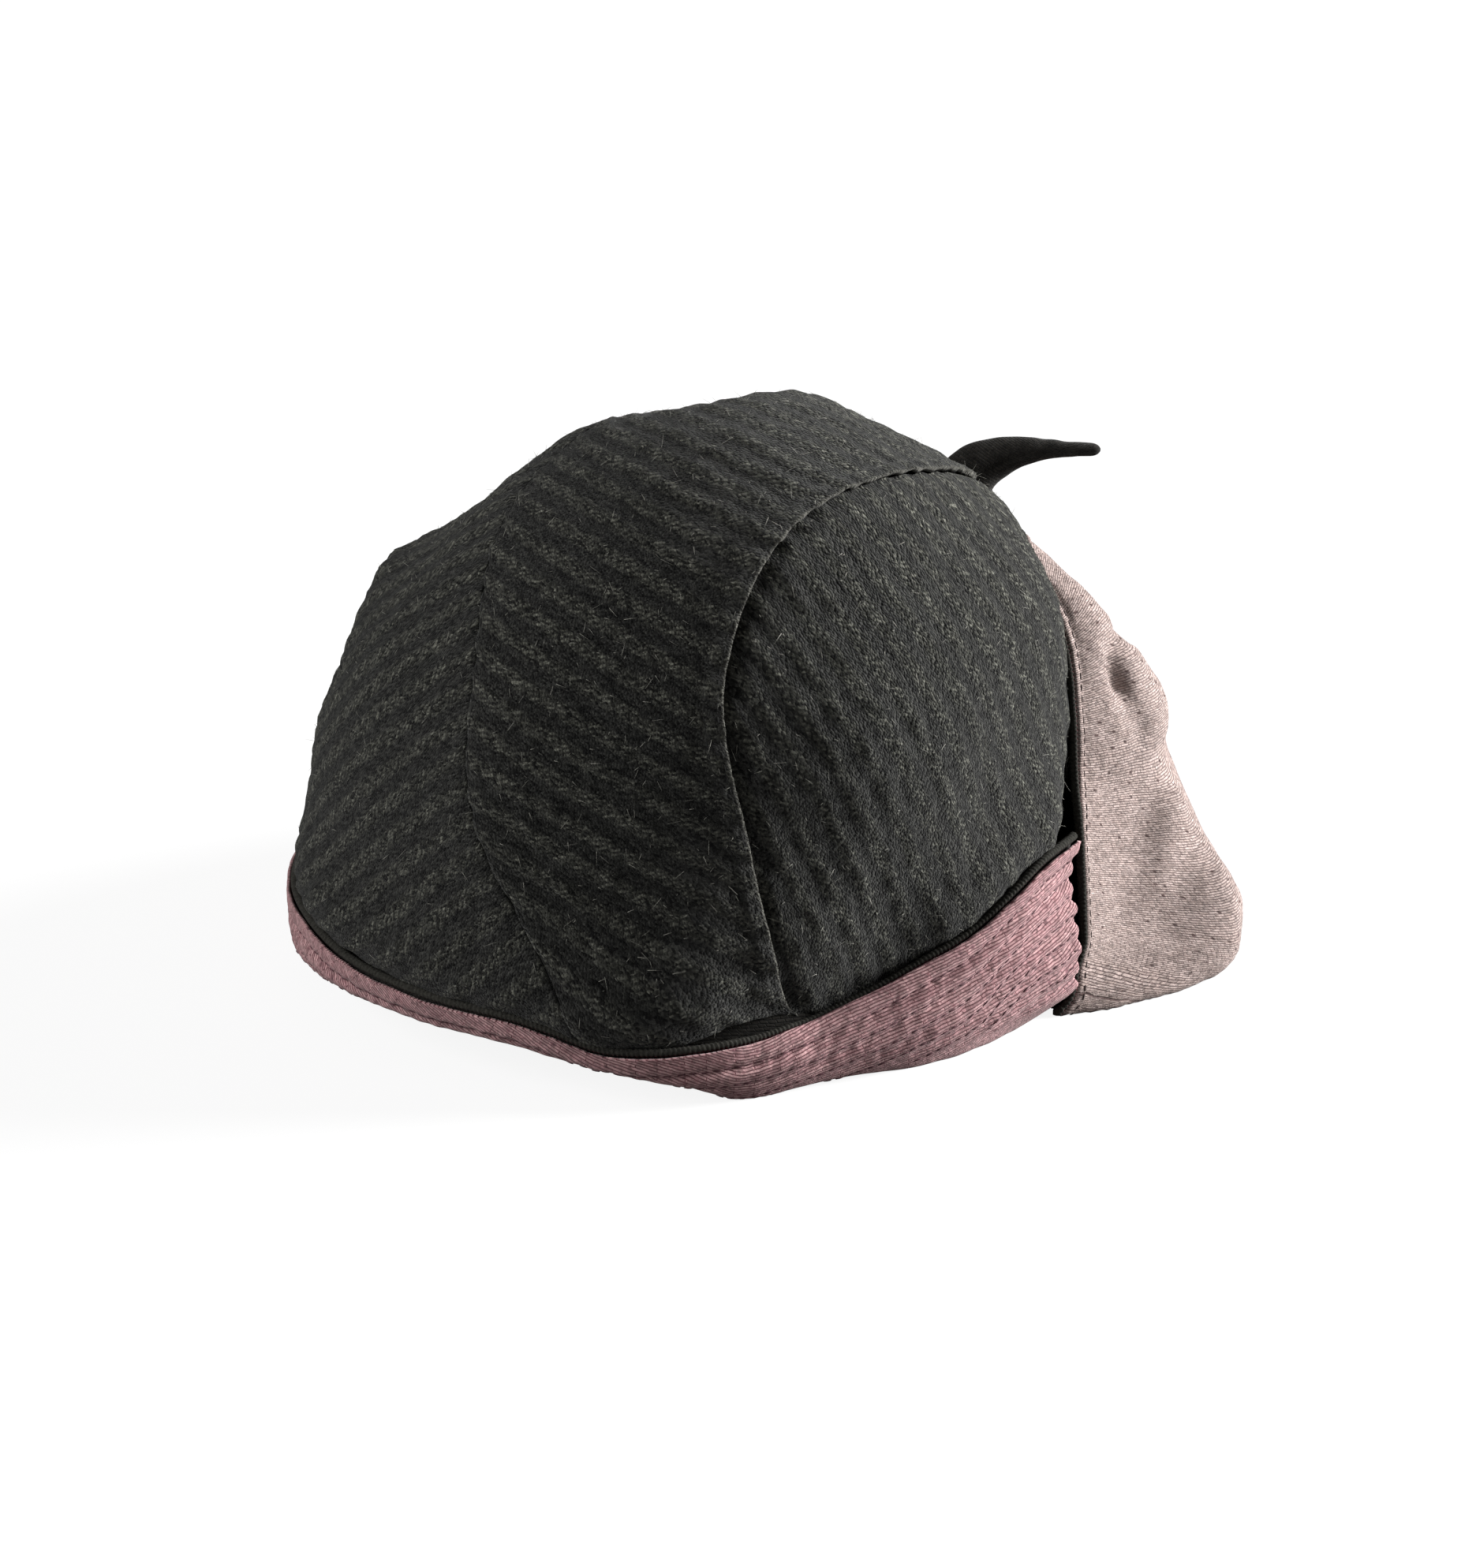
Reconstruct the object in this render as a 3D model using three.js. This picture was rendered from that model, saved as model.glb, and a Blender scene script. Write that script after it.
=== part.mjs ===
import * as THREE from 'three';

// Soft cap of five gores with a turned-up brim and a large turned-up peak, in millimetres.
// +Z is up and the floor is z = 0; the front is -Y and the wearer's right is -X.
// Angles are in degrees, counted from the front towards the wearer's right.

// Cloth thicknesses, and the gap left where pieces are sewn together
const CROWN_CLOTH = 1.6;
const BRIM_CLOTH = 1.2;
const SEWN_GAP = 0.3;
const BRIM_LAYERS = 2 * BRIM_CLOTH + SEWN_GAP;
const HEADLINE_INSET = 2.1;
const SEWN_EASE = 0.15;

// The crown's ovals are slightly squarer than ellipses, and stand proud along the seams
const OVAL_POWER = 2.15;
const SEAM_RIDGE = 0.018;
const SEAM_RIDGE_WIDTH = 13;

// A row for each oval section of the crown, from the headline to the tip
const CROWN_SECTIONS = table('step z x y front back half tilt', [
  [0, 14, 0, 0, 97, 97, 82, 3.5],
  [1, 29.8, 2, 2.6, 99.8, 105.3, 87.4, 2.2],
  [2, 59.2, -0.6, 2, 99.4, 105.2, 86.6, 6.5],
  [3, 89.7, -8.1, -4.7, 87, 99, 78.5, 14.5],
  [4, 115.8, -22.5, -20.4, 61.7, 81.7, 58.3, 24.4],
  [5, 129.3, -32.8, -36.8, 33.8, 52.2, 30.7, 33.9],
  [6, 130.4, -43.5, -52.7, 0, 0, 0, 36],
]);
const CROWN_END = 5.95;

// The angle of each seam at the same sections
const SEAMS = table('step right_front right_back centre_back left_back left_front', [
  [0, 45, 113, 149, 228, 315],
  [1, 45, 117.7, 151.5, 227, 315],
  [2, 44, 124.5, 167, 224, 315],
  [3, 42, 135, 178.5, 222, 314],
  [4, 38, 136.5, 203, 237, 312],
  [5, 34, 114, 226, 262, 308],
  [6, 30, 95, 230, 268, 305],
]);

// The panels between those seams; turns counts a full turn added to the last seam
const CROWN_PANELS = table('name from to turns columns', [
  ['crown_side_right', 'right_front', 'right_back', 0, 9],
  ['crown_back_right', 'right_back', 'centre_back', 0, 6],
  ['crown_back_left', 'centre_back', 'left_back', 0, 7],
  ['crown_side_left', 'left_back', 'left_front', 0, 9],
  ['crown_front', 'left_front', 'right_front', 1, 9],
]);
const CROWN_ROWS = 14;

// The brim round the back, as it is turned up: its fold and its free edge at each angle
const BRIM_STATIONS = table('angle fold_out fold_z edge_out edge_z', [
  [73, 17, 1, 16, 43.5],
  [84, 14, -0.4, 14, 40],
  [96, 12, -0.4, 12.5, 35],
  [108, 10.5, 1, 11, 28],
  [118, 10, 0.6, 10.5, 21.5],
  [126, 10, -0.4, 10, 17],
  [134, 10, 4, 10, 14],
  [141, 10, 7, 10, 13],
  [148, 10, 9.2, 10, 13.5],
  [155, 10, 11.5, 10, 17],
  [162, 10, 13.3, 10.5, 19.5],
  [174, 11, 13.8, 12, 20.5],
  [188, 13, 13.5, 13.5, 21.5],
  [202, 14, 12, 14.5, 22],
  [216, 14.5, 9.5, 15, 22],
  [232, 14, 5, 14.5, 23],
  [248, 12.5, -0.4, 13.5, 28],
  [264, 12, -0.4, 13, 35],
  [287, 17, 1, 16, 43.5],
]);
const BRIM_COLUMNS = 38;
const BRIM_ROWS = 10;
const BRIM_END_LEAN = 4;
const BRIM_LEAN_REACH = 20;
const BRIM_LEAN_HEIGHT = 43;

// How far the turned-up peak stands out from the headline at each level, a row for each station
const PEAK_STATIONS = table('angle fold beak lower waist shoulder upper edge edge_z', [
  [-70, 18, 21, 18, 14, 9, 1, -14, 108],
  [-61, 33, 38, 32, 24, 18, 5, -20, 110],
  [-52, 45, 52, 41, 32, 24, 6, -24, 112],
  [-43, 49, 53, 43, 34, 25, 6, -27, 113],
  [-30, 44, 48, 41, 33, 24, 5, -30, 114],
  [-15, 40, 44, 39, 32, 23, 4, -32, 114],
  [0, 39, 43, 38, 32, 24, 4, -31, 114],
  [15, 40, 44, 39, 33, 25, 5, -29, 114],
  [30, 44, 48, 41, 34, 28, 8, -23, 113],
  [43, 49, 54, 44, 35, 31, 13, -16, 112],
  [52, 45, 54.5, 43, 33, 32, 17, -10, 112],
  [61, 33, 39, 33, 24, 23, 15, -5, 112],
  [70, 18, 21, 18, 14.5, 11.5, 9, 2, 110],
]);

// The levels of those columns, and how far the stations swing to the front there
const PEAK_LEVELS = table('column z swing', [
  ['beak', 14, 0.08],
  ['lower', 36, 0.2],
  ['waist', 55, 0.3],
  ['shoulder', 72, 0.45],
  ['upper', 90, 0.62],
]);
const PEAK_END = 70;
const PEAK_END_TOP = 55;
const PEAK_COLUMNS = 28;
const PEAK_ROWS = 10;
const PEAK_BOUND_FROM = 3;

// How far the fold is pressed flat where it rests on the floor
const FLATTENED = 0.4;

// Rolled bindings along the free edges
const BINDING_ACROSS = 1.6;
const BINDING_ALONG = 1.3;
const BINDING_SIDES = 6;

// The stalk sewn in at the tip: a row for each ring, measured from the tip of the crown
const STALK_RINGS = table('right up away width thick', [
  [0, 0.15, 0, 6.5, 4.5],
  [1.4, 3.2, 1.2, 6.2, 4.2],
  [5.2, 5.8, 1.8, 5, 3.4],
  [11.5, 7, 2, 3.9, 2.8],
  [20, 7.6, 2, 2.9, 2.3],
  [28, 8, 2, 2.2, 2],
  [31.5, 8.1, 2, 1.3, 1.2],
]);
const STALK_SIDES = 10;
const STALK_HEADING = new THREE.Vector3(-0.743, -0.669, 0);
const STALK_DEPTH = new THREE.Vector3(0.669, -0.743, 0);

// Cloth colours
const DARK_STRIPE = { color: '#34352f', roughness: 0.95, metalness: 0 };
const DARK_PLAIN = { color: '#2a2927', roughness: 0.95, metalness: 0 };
const MAUVE = { color: '#8a666a', roughness: 0.95, metalness: 0 };
const TAUPE = { color: '#9c8983', roughness: 0.95, metalness: 0 };

const STEP = 1e-3;
const RADIANS = Math.PI / 180;

function table(columns, rows) {
  const names = columns.split(' ');
  return rows.map((row) => Object.fromEntries(row.map((value, k) => [names[k], value])));
}

// A smooth curve through one column of a table, against its key column
function lookup(rows, key, column, at) {
  const last = rows.length - 1;
  let k = 0;
  while (k < last - 1 && at > rows[k + 1][key]) {
    k += 1;
  }
  const slope = (i) => {
    const low = rows[Math.max(i - 1, 0)];
    const high = rows[Math.min(i + 1, last)];
    return (high[column] - low[column]) / (high[key] - low[key]);
  };
  const width = rows[k + 1][key] - rows[k][key];
  const t = THREE.MathUtils.clamp((at - rows[k][key]) / width, 0, 1);
  const rise = rows[k + 1][column] - rows[k][column];
  const start = slope(k) * width;
  const end = slope(k + 1) * width;
  return rows[k][column] + t * (start + t * (3 * rise - 2 * start - end + t * (start + end - 2 * rise)));
}

function signedPower(value, power) {
  return Math.sign(value) * Math.abs(value) ** power;
}

// How close an angle is to a seam: 1 on the seam, falling to 0 in the middle of a panel
function nearSeam(angle, v) {
  const close = Object.keys(SEAMS[0]).slice(1).map((seam) => {
    const turn = THREE.MathUtils.euclideanModulo(angle - lookup(SEAMS, 'step', seam, v) + 180, 360) - 180;
    return Math.exp(-((turn / SEAM_RIDGE_WIDTH) ** 2));
  });
  return Math.max(...close);
}

// The outside of the crown at an angle and a section number
function crownSurface(angle, v) {
  const at = (column) => lookup(CROWN_SECTIONS, 'step', column, v);
  const cos = signedPower(Math.cos(angle * RADIANS), 2 / OVAL_POWER);
  const sin = signedPower(Math.sin(angle * RADIANS), 2 / OVAL_POWER);
  const ridge = 1 + SEAM_RIDGE * nearSeam(angle, v) * THREE.MathUtils.clamp(v - 0.3, 0, 1);
  const long = (cos > 0 ? at('front') : at('back')) * cos * ridge;
  const side = at('half') * sin * ridge;
  const tilt = at('tilt') * RADIANS;
  return new THREE.Vector3(
    at('x') - side,
    at('y') - long * Math.cos(tilt),
    at('z') - long * Math.sin(tilt),
  );
}

// A point under a surface, square to it
function inset(surface, a, b, depth) {
  const along = surface(a + STEP, b).sub(surface(a - STEP, b));
  const across = surface(a, b + STEP).sub(surface(a, b - STEP));
  return surface(a, b).addScaledVector(along.cross(across).normalize(), depth);
}

function sizeOf(surface, a, b) {
  return surface(a + STEP, b).distanceTo(surface(a - STEP, b)) / (2 * STEP);
}

// The headline, where the brim and the peak are sewn to the crown
function fromHeadline(angle, out, z) {
  const along = crownSurface(angle + STEP, 0).sub(crownSurface(angle - STEP, 0));
  const outward = new THREE.Vector3(along.y, -along.x, 0).normalize();
  const point = crownSurface(angle, 0).addScaledVector(outward, -out);
  point.z = z;
  return point;
}

// Where a section starts, so that both of its cloths lie just under the crown's edge;
// next is the point that the section sets off towards
function sewnStart(angle, next) {
  const top = crownSurface(angle, 0).z - SEWN_GAP;
  const run = next.x + HEADLINE_INSET;
  const drop = BRIM_LAYERS * run / Math.hypot(run, top - next.z) + SEWN_EASE;
  return new THREE.Vector3(-HEADLINE_INSET, 0, top - drop);
}

// The outside of the brim: from the headline down to the fold, and up to the free edge
function brimSurface(angle, t) {
  const at = (column) => lookup(BRIM_STATIONS, 'angle', column, angle);
  const foldZ = at('fold_z');
  const foldOut = at('fold_out');
  const edgeZ = at('edge_z');
  const next = new THREE.Vector3(0.28 * foldOut, 0, foldZ + 0.2 * (crownSurface(angle, 0).z - foldZ));
  const section = new THREE.CatmullRomCurve3([
    sewnStart(angle, next),
    next,
    new THREE.Vector3(0.5 * foldOut, 0, foldZ),
    new THREE.Vector3(0.76 * foldOut, 0, foldZ),
    new THREE.Vector3(0.98 * foldOut, 0, foldZ + 0.3 * (edgeZ - foldZ)),
    new THREE.Vector3(at('edge_out'), 0, edgeZ),
  ], false, 'centripetal');
  const point = section.getPoint(THREE.MathUtils.clamp(t, 0, 1));
  const fromRight = Math.max(1 - (angle - BRIM_STATIONS[0].angle) / BRIM_LEAN_REACH, 0);
  const fromLeft = Math.max(1 - (BRIM_STATIONS.at(-1).angle - angle) / BRIM_LEAN_REACH, 0);
  const lean = BRIM_END_LEAN * (fromLeft - fromRight) * Math.max(t - 0.5, 0) * 2;
  return fromHeadline(angle + lean * point.z / BRIM_LEAN_HEIGHT, point.x, Math.max(point.z, 0));
}

// The outside of the peak: from the headline out to the fold, and up to its free edge
function peakSurface(angle, t) {
  const at = (column) => lookup(PEAK_STATIONS, 'angle', column, angle);
  const next = new THREE.Vector3(0.4 * at('fold'), 0, 0.35 * crownSurface(angle, 0).z);
  const section = new THREE.CatmullRomCurve3([
    sewnStart(angle, next),
    next,
    new THREE.Vector3(0.66 * at('fold'), 0, -FLATTENED),
    new THREE.Vector3(0.86 * at('fold'), 0, -FLATTENED),
    new THREE.Vector3(0.97 * at('beak'), 0.04, 6),
    ...PEAK_LEVELS.map((level) => new THREE.Vector3(at(level.column), level.swing, level.z)),
    new THREE.Vector3(at('edge'), 1, at('edge_z')),
  ], false, 'centripetal');
  const point = section.getPoint(THREE.MathUtils.clamp(t, 0, 1));
  const swing = 1 - point.y * (1 - PEAK_END_TOP / PEAK_END);
  return fromHeadline(angle * swing, point.x, Math.max(point.z, 0));
}

function solid(name, points, faces, look) {
  const geometry = new THREE.BufferGeometry().setFromPoints(points);
  const volume = faces.reduce((sum, [a, b, c]) => {
    return sum + points[a].dot(points[b].clone().cross(points[c]));
  }, 0);
  geometry.setIndex(faces.flatMap(([a, b, c]) => (volume < 0 ? [a, c, b] : [a, b, c])));
  geometry.computeVertexNormals();
  const mesh = new THREE.Mesh(geometry, new THREE.MeshStandardMaterial(look));
  mesh.name = name;
  return mesh;
}

// A sheet of cloth with two faces and four sewn or cut edges; place gives a point on either face
function sheet(name, columns, rows, place, look) {
  const points = [];
  const faces = [];
  const index = (i, j, face) => face * (columns + 1) * (rows + 1) + i * (rows + 1) + j;
  for (const face of [0, 1]) {
    for (let i = 0; i <= columns; i += 1) {
      for (let j = 0; j <= rows; j += 1) {
        points.push(place(i / columns, j / rows, face));
      }
    }
  }
  const quad = (a, b, c, d) => faces.push([a, b, c], [a, c, d]);
  for (let i = 0; i < columns; i += 1) {
    for (let j = 0; j < rows; j += 1) {
      quad(index(i, j, 0), index(i + 1, j, 0), index(i + 1, j + 1, 0), index(i, j + 1, 0));
      quad(index(i, j, 1), index(i, j + 1, 1), index(i + 1, j + 1, 1), index(i + 1, j, 1));
    }
    quad(index(i, 0, 0), index(i, 0, 1), index(i + 1, 0, 1), index(i + 1, 0, 0));
    quad(index(i, rows, 0), index(i + 1, rows, 0), index(i + 1, rows, 1), index(i, rows, 1));
  }
  for (let j = 0; j < rows; j += 1) {
    quad(index(0, j, 0), index(0, j + 1, 0), index(0, j + 1, 1), index(0, j, 1));
    quad(index(columns, j, 0), index(columns, j, 1), index(columns, j + 1, 1), index(columns, j + 1, 0));
  }
  return solid(name, points, faces, look);
}

// A closed tube through rings of points
function tube(name, rings, look) {
  const sides = rings[0].length;
  const points = rings.flat();
  const faces = [];
  for (let i = 0; i < rings.length - 1; i += 1) {
    for (let k = 0; k < sides; k += 1) {
      const next = (k + 1) % sides;
      faces.push([i * sides + k, i * sides + next, (i + 1) * sides + next]);
      faces.push([i * sides + k, (i + 1) * sides + next, (i + 1) * sides + k]);
    }
  }
  const last = (rings.length - 1) * sides;
  for (let k = 1; k < sides - 1; k += 1) {
    faces.push([0, k + 1, k]);
    faces.push([last, last + k, last + k + 1]);
  }
  return solid(name, points, faces, look);
}

function ring(centre, axisA, axisB, sides) {
  return Array.from({ length: sides }, (_, k) => {
    const turn = 2 * Math.PI * k / sides;
    return centre.clone().addScaledVector(axisA, Math.cos(turn)).addScaledVector(axisB, Math.sin(turn));
  });
}

function crownPanel(panel) {
  const place = (s, t, face) => {
    const v = t * CROWN_END;
    const from = lookup(SEAMS, 'step', panel.from, v);
    const to = lookup(SEAMS, 'step', panel.to, v) + 360 * panel.turns;
    const trimFrom = SEWN_GAP / 2 / sizeOf(crownSurface, from, v);
    const trimTo = SEWN_GAP / 2 / sizeOf(crownSurface, to, v);
    const angle = THREE.MathUtils.lerp(from + trimFrom, to - trimTo, s);
    return inset(crownSurface, angle, v, face * CROWN_CLOTH);
  };
  return sheet(panel.name, panel.columns, CROWN_ROWS, place, DARK_STRIPE);
}

// One of the two cloths of the brim or the peak; the facing is outermost, the shell lies inside it
function layer(name, surface, from, to, columns, rows, depth, look) {
  const place = (s, t, face) => {
    const deep = depth + face * BRIM_CLOTH;
    const point = inset(surface, THREE.MathUtils.lerp(from, to, s), t, deep);
    point.z = Math.max(point.z, deep);
    return point;
  };
  return sheet(name, columns, rows, place, look);
}

// A ring of binding just beyond the edge of the layers, in the given directions over the surface
function bindingRing(surface, angle, t, towards) {
  const outer = surface(angle, t);
  const inner = inset(surface, angle, t, BRIM_LAYERS);
  const across = inner.clone().sub(outer).normalize();
  const along = surface(angle + STEP, t).sub(surface(angle - STEP, t)).normalize();
  const up = surface(angle, t + STEP).sub(surface(angle, t - STEP)).normalize();
  const outward = along.multiplyScalar(towards.x).addScaledVector(up, towards.y);
  const centre = outer.lerp(inner, 0.5).addScaledVector(outward, SEWN_GAP + BINDING_ALONG);
  across.multiplyScalar(BINDING_ACROSS);
  outward.multiplyScalar(BINDING_ALONG);
  const points = ring(centre, across, outward, BINDING_SIDES);
  return points.map((point) => point.setZ(Math.max(point.z, SEWN_GAP)));
}

function brimBinding(from, to) {
  const rings = Array.from({ length: BRIM_COLUMNS + 1 }, (_, i) => {
    const angle = THREE.MathUtils.lerp(from, to, i / BRIM_COLUMNS);
    return bindingRing(brimSurface, angle, 1, new THREE.Vector2(0, 1));
  });
  return tube('brim_binding', rings, DARK_PLAIN);
}

// The peak's binding runs up one side, along the free edge and down the other side
function peakBinding() {
  const side = (sign) => Array.from({ length: PEAK_ROWS - PEAK_BOUND_FROM }, (_, j) => {
    const t = (PEAK_BOUND_FROM + j) / PEAK_ROWS;
    return bindingRing(peakSurface, sign * PEAK_END, t, new THREE.Vector2(sign, 0));
  });
  const edge = Array.from({ length: PEAK_COLUMNS + 1 }, (_, i) => {
    const angle = THREE.MathUtils.lerp(PEAK_END, -PEAK_END, i / PEAK_COLUMNS);
    const corner = i === 0 ? 1 : i === PEAK_COLUMNS ? -1 : 0;
    return bindingRing(peakSurface, angle, 1, new THREE.Vector2(corner, 1));
  });
  return tube('peak_binding', [...side(1), ...edge, ...side(-1).reverse()], DARK_PLAIN);
}

function stalk() {
  const tip = crownSurface(0, CROWN_SECTIONS.at(-1).step);
  const centres = STALK_RINGS.map((row) => {
    const centre = tip.clone().addScaledVector(STALK_HEADING, row.right);
    centre.addScaledVector(STALK_DEPTH, row.away);
    centre.z += row.up;
    return centre;
  });
  const rings = centres.map((centre, i) => {
    const before = centres[Math.max(i - 1, 0)];
    const after = centres[Math.min(i + 1, centres.length - 1)];
    const tangent = after.clone().sub(before).normalize();
    const breadth = new THREE.Vector3().crossVectors(tangent, STALK_DEPTH).normalize();
    const depth = new THREE.Vector3().crossVectors(breadth, tangent);
    const row = STALK_RINGS[i];
    return ring(centre, breadth.multiplyScalar(row.width), depth.multiplyScalar(row.thick), STALK_SIDES);
  });
  return tube('stalk', rings, DARK_PLAIN);
}

const brimFrom = BRIM_STATIONS[0].angle;
const brimTo = BRIM_STATIONS.at(-1).angle;
const shellDepth = BRIM_CLOTH + SEWN_GAP;

const cap = new THREE.Group();
cap.name = 'cap';
cap.add(...CROWN_PANELS.map(crownPanel));
cap.add(layer('brim_facing', brimSurface, brimFrom, brimTo, BRIM_COLUMNS, BRIM_ROWS, 0, MAUVE));
cap.add(layer('brim_shell', brimSurface, brimFrom, brimTo, BRIM_COLUMNS, BRIM_ROWS, shellDepth, DARK_PLAIN));
cap.add(brimBinding(brimFrom, brimTo));
cap.add(layer('peak_facing', peakSurface, -PEAK_END, PEAK_END, PEAK_COLUMNS, PEAK_ROWS, 0, TAUPE));
cap.add(layer('peak_shell', peakSurface, -PEAK_END, PEAK_END, PEAK_COLUMNS, PEAK_ROWS, shellDepth, DARK_PLAIN));
cap.add(peakBinding());
cap.add(stalk());

// The origin is the middle of the floor under the cap
const middle = new THREE.Box3().setFromObject(cap).getCenter(new THREE.Vector3());
cap.children.forEach((piece) => piece.geometry.translate(-middle.x, -middle.y, 0));

export default cap;
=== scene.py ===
# Looks of a soft gored cap: a crown of dark striped twill, a mauve brim and a taupe peak, both turned up.
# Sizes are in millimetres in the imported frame: +Z is up, -Y the front, -X the wearer's right.
# Angles are in degrees, counted from the front towards the wearer's right.
import math
import random

import bmesh
import bpy
import numpy as np
from mathutils import Matrix, Vector, noise


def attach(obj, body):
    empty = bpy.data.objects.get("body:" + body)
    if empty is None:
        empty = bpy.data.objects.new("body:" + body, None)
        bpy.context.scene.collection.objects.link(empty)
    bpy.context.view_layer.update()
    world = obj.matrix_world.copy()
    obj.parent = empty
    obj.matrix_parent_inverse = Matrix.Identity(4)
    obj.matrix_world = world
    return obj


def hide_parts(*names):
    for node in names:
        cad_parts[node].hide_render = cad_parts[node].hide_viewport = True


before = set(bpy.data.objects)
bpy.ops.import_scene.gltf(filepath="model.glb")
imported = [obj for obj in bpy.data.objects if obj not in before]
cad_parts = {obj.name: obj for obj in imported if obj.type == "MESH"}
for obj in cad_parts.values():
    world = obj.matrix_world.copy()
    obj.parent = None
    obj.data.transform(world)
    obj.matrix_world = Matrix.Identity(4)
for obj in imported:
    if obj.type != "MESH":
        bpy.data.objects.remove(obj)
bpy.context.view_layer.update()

random.seed(11)
MM = 0.001


def table(names, rows):
    return dict(zip(names.split(), np.array(rows, float).T))


# The part's own sizes: cloth thicknesses, sewn gaps and the middle of the headline
CROWN_CLOTH = 1.6
BRIM_CLOTH = 1.2
SEWN_GAP = 0.3
BRIM_LAYERS = 2 * BRIM_CLOTH + SEWN_GAP
HEADLINE_INSET = 2.1
SEWN_EASE = 0.15
HEADLINE_MIDDLE = np.array([0.9447, 14.8689, 0])
OVAL_POWER = 2.15
SEAM_RIDGE = 0.018
SEAM_RIDGE_WIDTH = 13
CROWN_END = 5.95

# Oval sections of the crown, from the headline to the tip, and the seams' angles there
CROWN_SECTIONS = table("step z x y front back half tilt", [
    [0, 14, 0, 0, 97, 97, 82, 3.5],
    [1, 29.8, 2, 2.6, 99.8, 105.3, 87.4, 2.2],
    [2, 59.2, -0.6, 2, 99.4, 105.2, 86.6, 6.5],
    [3, 89.7, -8.1, -4.7, 87, 99, 78.5, 14.5],
    [4, 115.8, -22.5, -20.4, 61.7, 81.7, 58.3, 24.4],
    [5, 129.3, -32.8, -36.8, 33.8, 52.2, 30.7, 33.9],
    [6, 130.4, -43.5, -52.7, 0, 0, 0, 36],
])
SEAM_NAMES = ["right_front", "right_back", "centre_back", "left_back", "left_front"]
SEAMS = table("step " + " ".join(SEAM_NAMES), [
    [0, 45, 116, 149, 228, 315],
    [1, 45, 117.7, 151.5, 227, 315],
    [2, 44, 124.5, 167, 224, 315],
    [3, 42, 135, 178.5, 222, 314],
    [4, 38, 136.5, 203, 237, 312],
    [5, 34, 114, 226, 262, 308],
    [6, 30, 95, 230, 268, 305],
])

# The turned-up brim: its fold and its free edge at each angle
BRIM_STATIONS = table("angle fold_out fold_z edge_out edge_z", [
    [73, 17, 1, 16, 43.5],
    [84, 14, -0.4, 14, 40],
    [96, 12, -0.4, 12.5, 35],
    [108, 10.5, 1, 11, 28],
    [118, 10, 0.6, 10.5, 21.5],
    [126, 10, -0.4, 10, 17],
    [134, 10, 4, 10, 14],
    [141, 10, 7, 10, 13],
    [148, 10, 9.2, 10, 13.5],
    [155, 10, 11.5, 10, 17],
    [162, 10, 13.3, 10.5, 19.5],
    [174, 11, 13.8, 12, 20.5],
    [188, 13, 13.5, 13.5, 21.5],
    [202, 14, 12, 14.5, 22],
    [216, 14.5, 9.5, 15, 22],
    [232, 14, 5, 14.5, 23],
    [248, 12.5, -0.4, 13.5, 28],
    [264, 12, -0.4, 13, 35],
    [287, 17, 1, 16, 43.5],
])
BRIM_FROM, BRIM_TO = BRIM_STATIONS["angle"][[0, -1]]
BRIM_END_LEAN = 4
BRIM_LEAN_REACH = 20
BRIM_LEAN_HEIGHT = 43

# The turned-up peak: how far it stands out from the headline at each level
PEAK_STATIONS = table("angle fold beak lower waist shoulder upper edge edge_z", [
    [-70, 18, 21, 18, 14, 9, 1, -14, 108],
    [-61, 33, 38, 32, 24, 18, 5, -20, 110],
    [-52, 45, 52, 41, 32, 24, 6, -24, 112],
    [-43, 49, 53, 43, 34, 25, 6, -27, 113],
    [-30, 44, 48, 41, 33, 24, 5, -30, 114],
    [-15, 40, 44, 39, 32, 23, 4, -32, 114],
    [0, 39, 43, 38, 32, 24, 4, -31, 114],
    [15, 40, 44, 39, 33, 25, 5, -29, 114],
    [30, 44, 48, 41, 34, 28, 8, -23, 113],
    [43, 49, 54, 44, 35, 31, 13, -16, 112],
    [52, 45, 54.5, 43, 33, 32, 17, -10, 112],
    [61, 33, 39, 33, 24, 23, 15, -5, 112],
    [70, 18, 21, 18, 14.5, 11.5, 9, 2, 110],
])
PEAK_LEVELS = [("beak", 14, 0.08), ("lower", 36, 0.2), ("waist", 55, 0.3), ("shoulder", 72, 0.45),
               ("upper", 90, 0.62)]
PEAK_END = 70
PEAK_END_TOP = 55
PEAK_ROLLED_FROM = 0.12
FLATTENED = 0.4

# The stalk at the tip: rings measured from the tip of the crown
STALK_RINGS = table("right up away width thick", [
    [-2.4, -3.6, 0, 7.6, 5],
    [-0.6, -0.4, 0.3, 7.4, 4.6],
    [1.7, 2.1, 0.9, 6.9, 4.2],
    [5.6, 4.3, 1.6, 5.9, 3.6],
    [11.6, 6.4, 2, 4.3, 2.9],
    [17.6, 7.4, 2, 3.1, 2.4],
    [24.4, 7.7, 2, 2.1, 2],
    [30.4, 7.8, 2, 1.8, 1.7],
    [32.2, 7.8, 2, 1.5, 1.4],
    [33.2, 7.8, 2, 1, 0.9],
    [33.7, 7.8, 2, 0.4, 0.4],
])
STALK_HEADING = np.array([-0.743, -0.669, 0])
STALK_DEPTH = np.array([0.669, -0.743, 0])

# The gores between the seams: a full turn added to the last seam, the stripes' angle on the flat cloth,
# and the size of the mesh
GORES = [
    ("gore_side_right", "crown_side_right", "right_front", "right_back", 0, 74, 0.85),
    ("gore_back_right", "crown_back_right", "right_back", "centre_back", 0, 56, 0.85),
    ("gore_back_left", "crown_back_left", "centre_back", "left_back", 0, -34, 0.95),
    ("gore_side_left", "crown_side_left", "left_back", "left_front", 0, -74, 1.4),
    ("gore_front", "crown_front", "left_front", "right_front", 360, 90, 1.6),
]
STRIPE_PERIOD = 7.5
STEP = 1e-3
FINE_STEPS = 240


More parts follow.
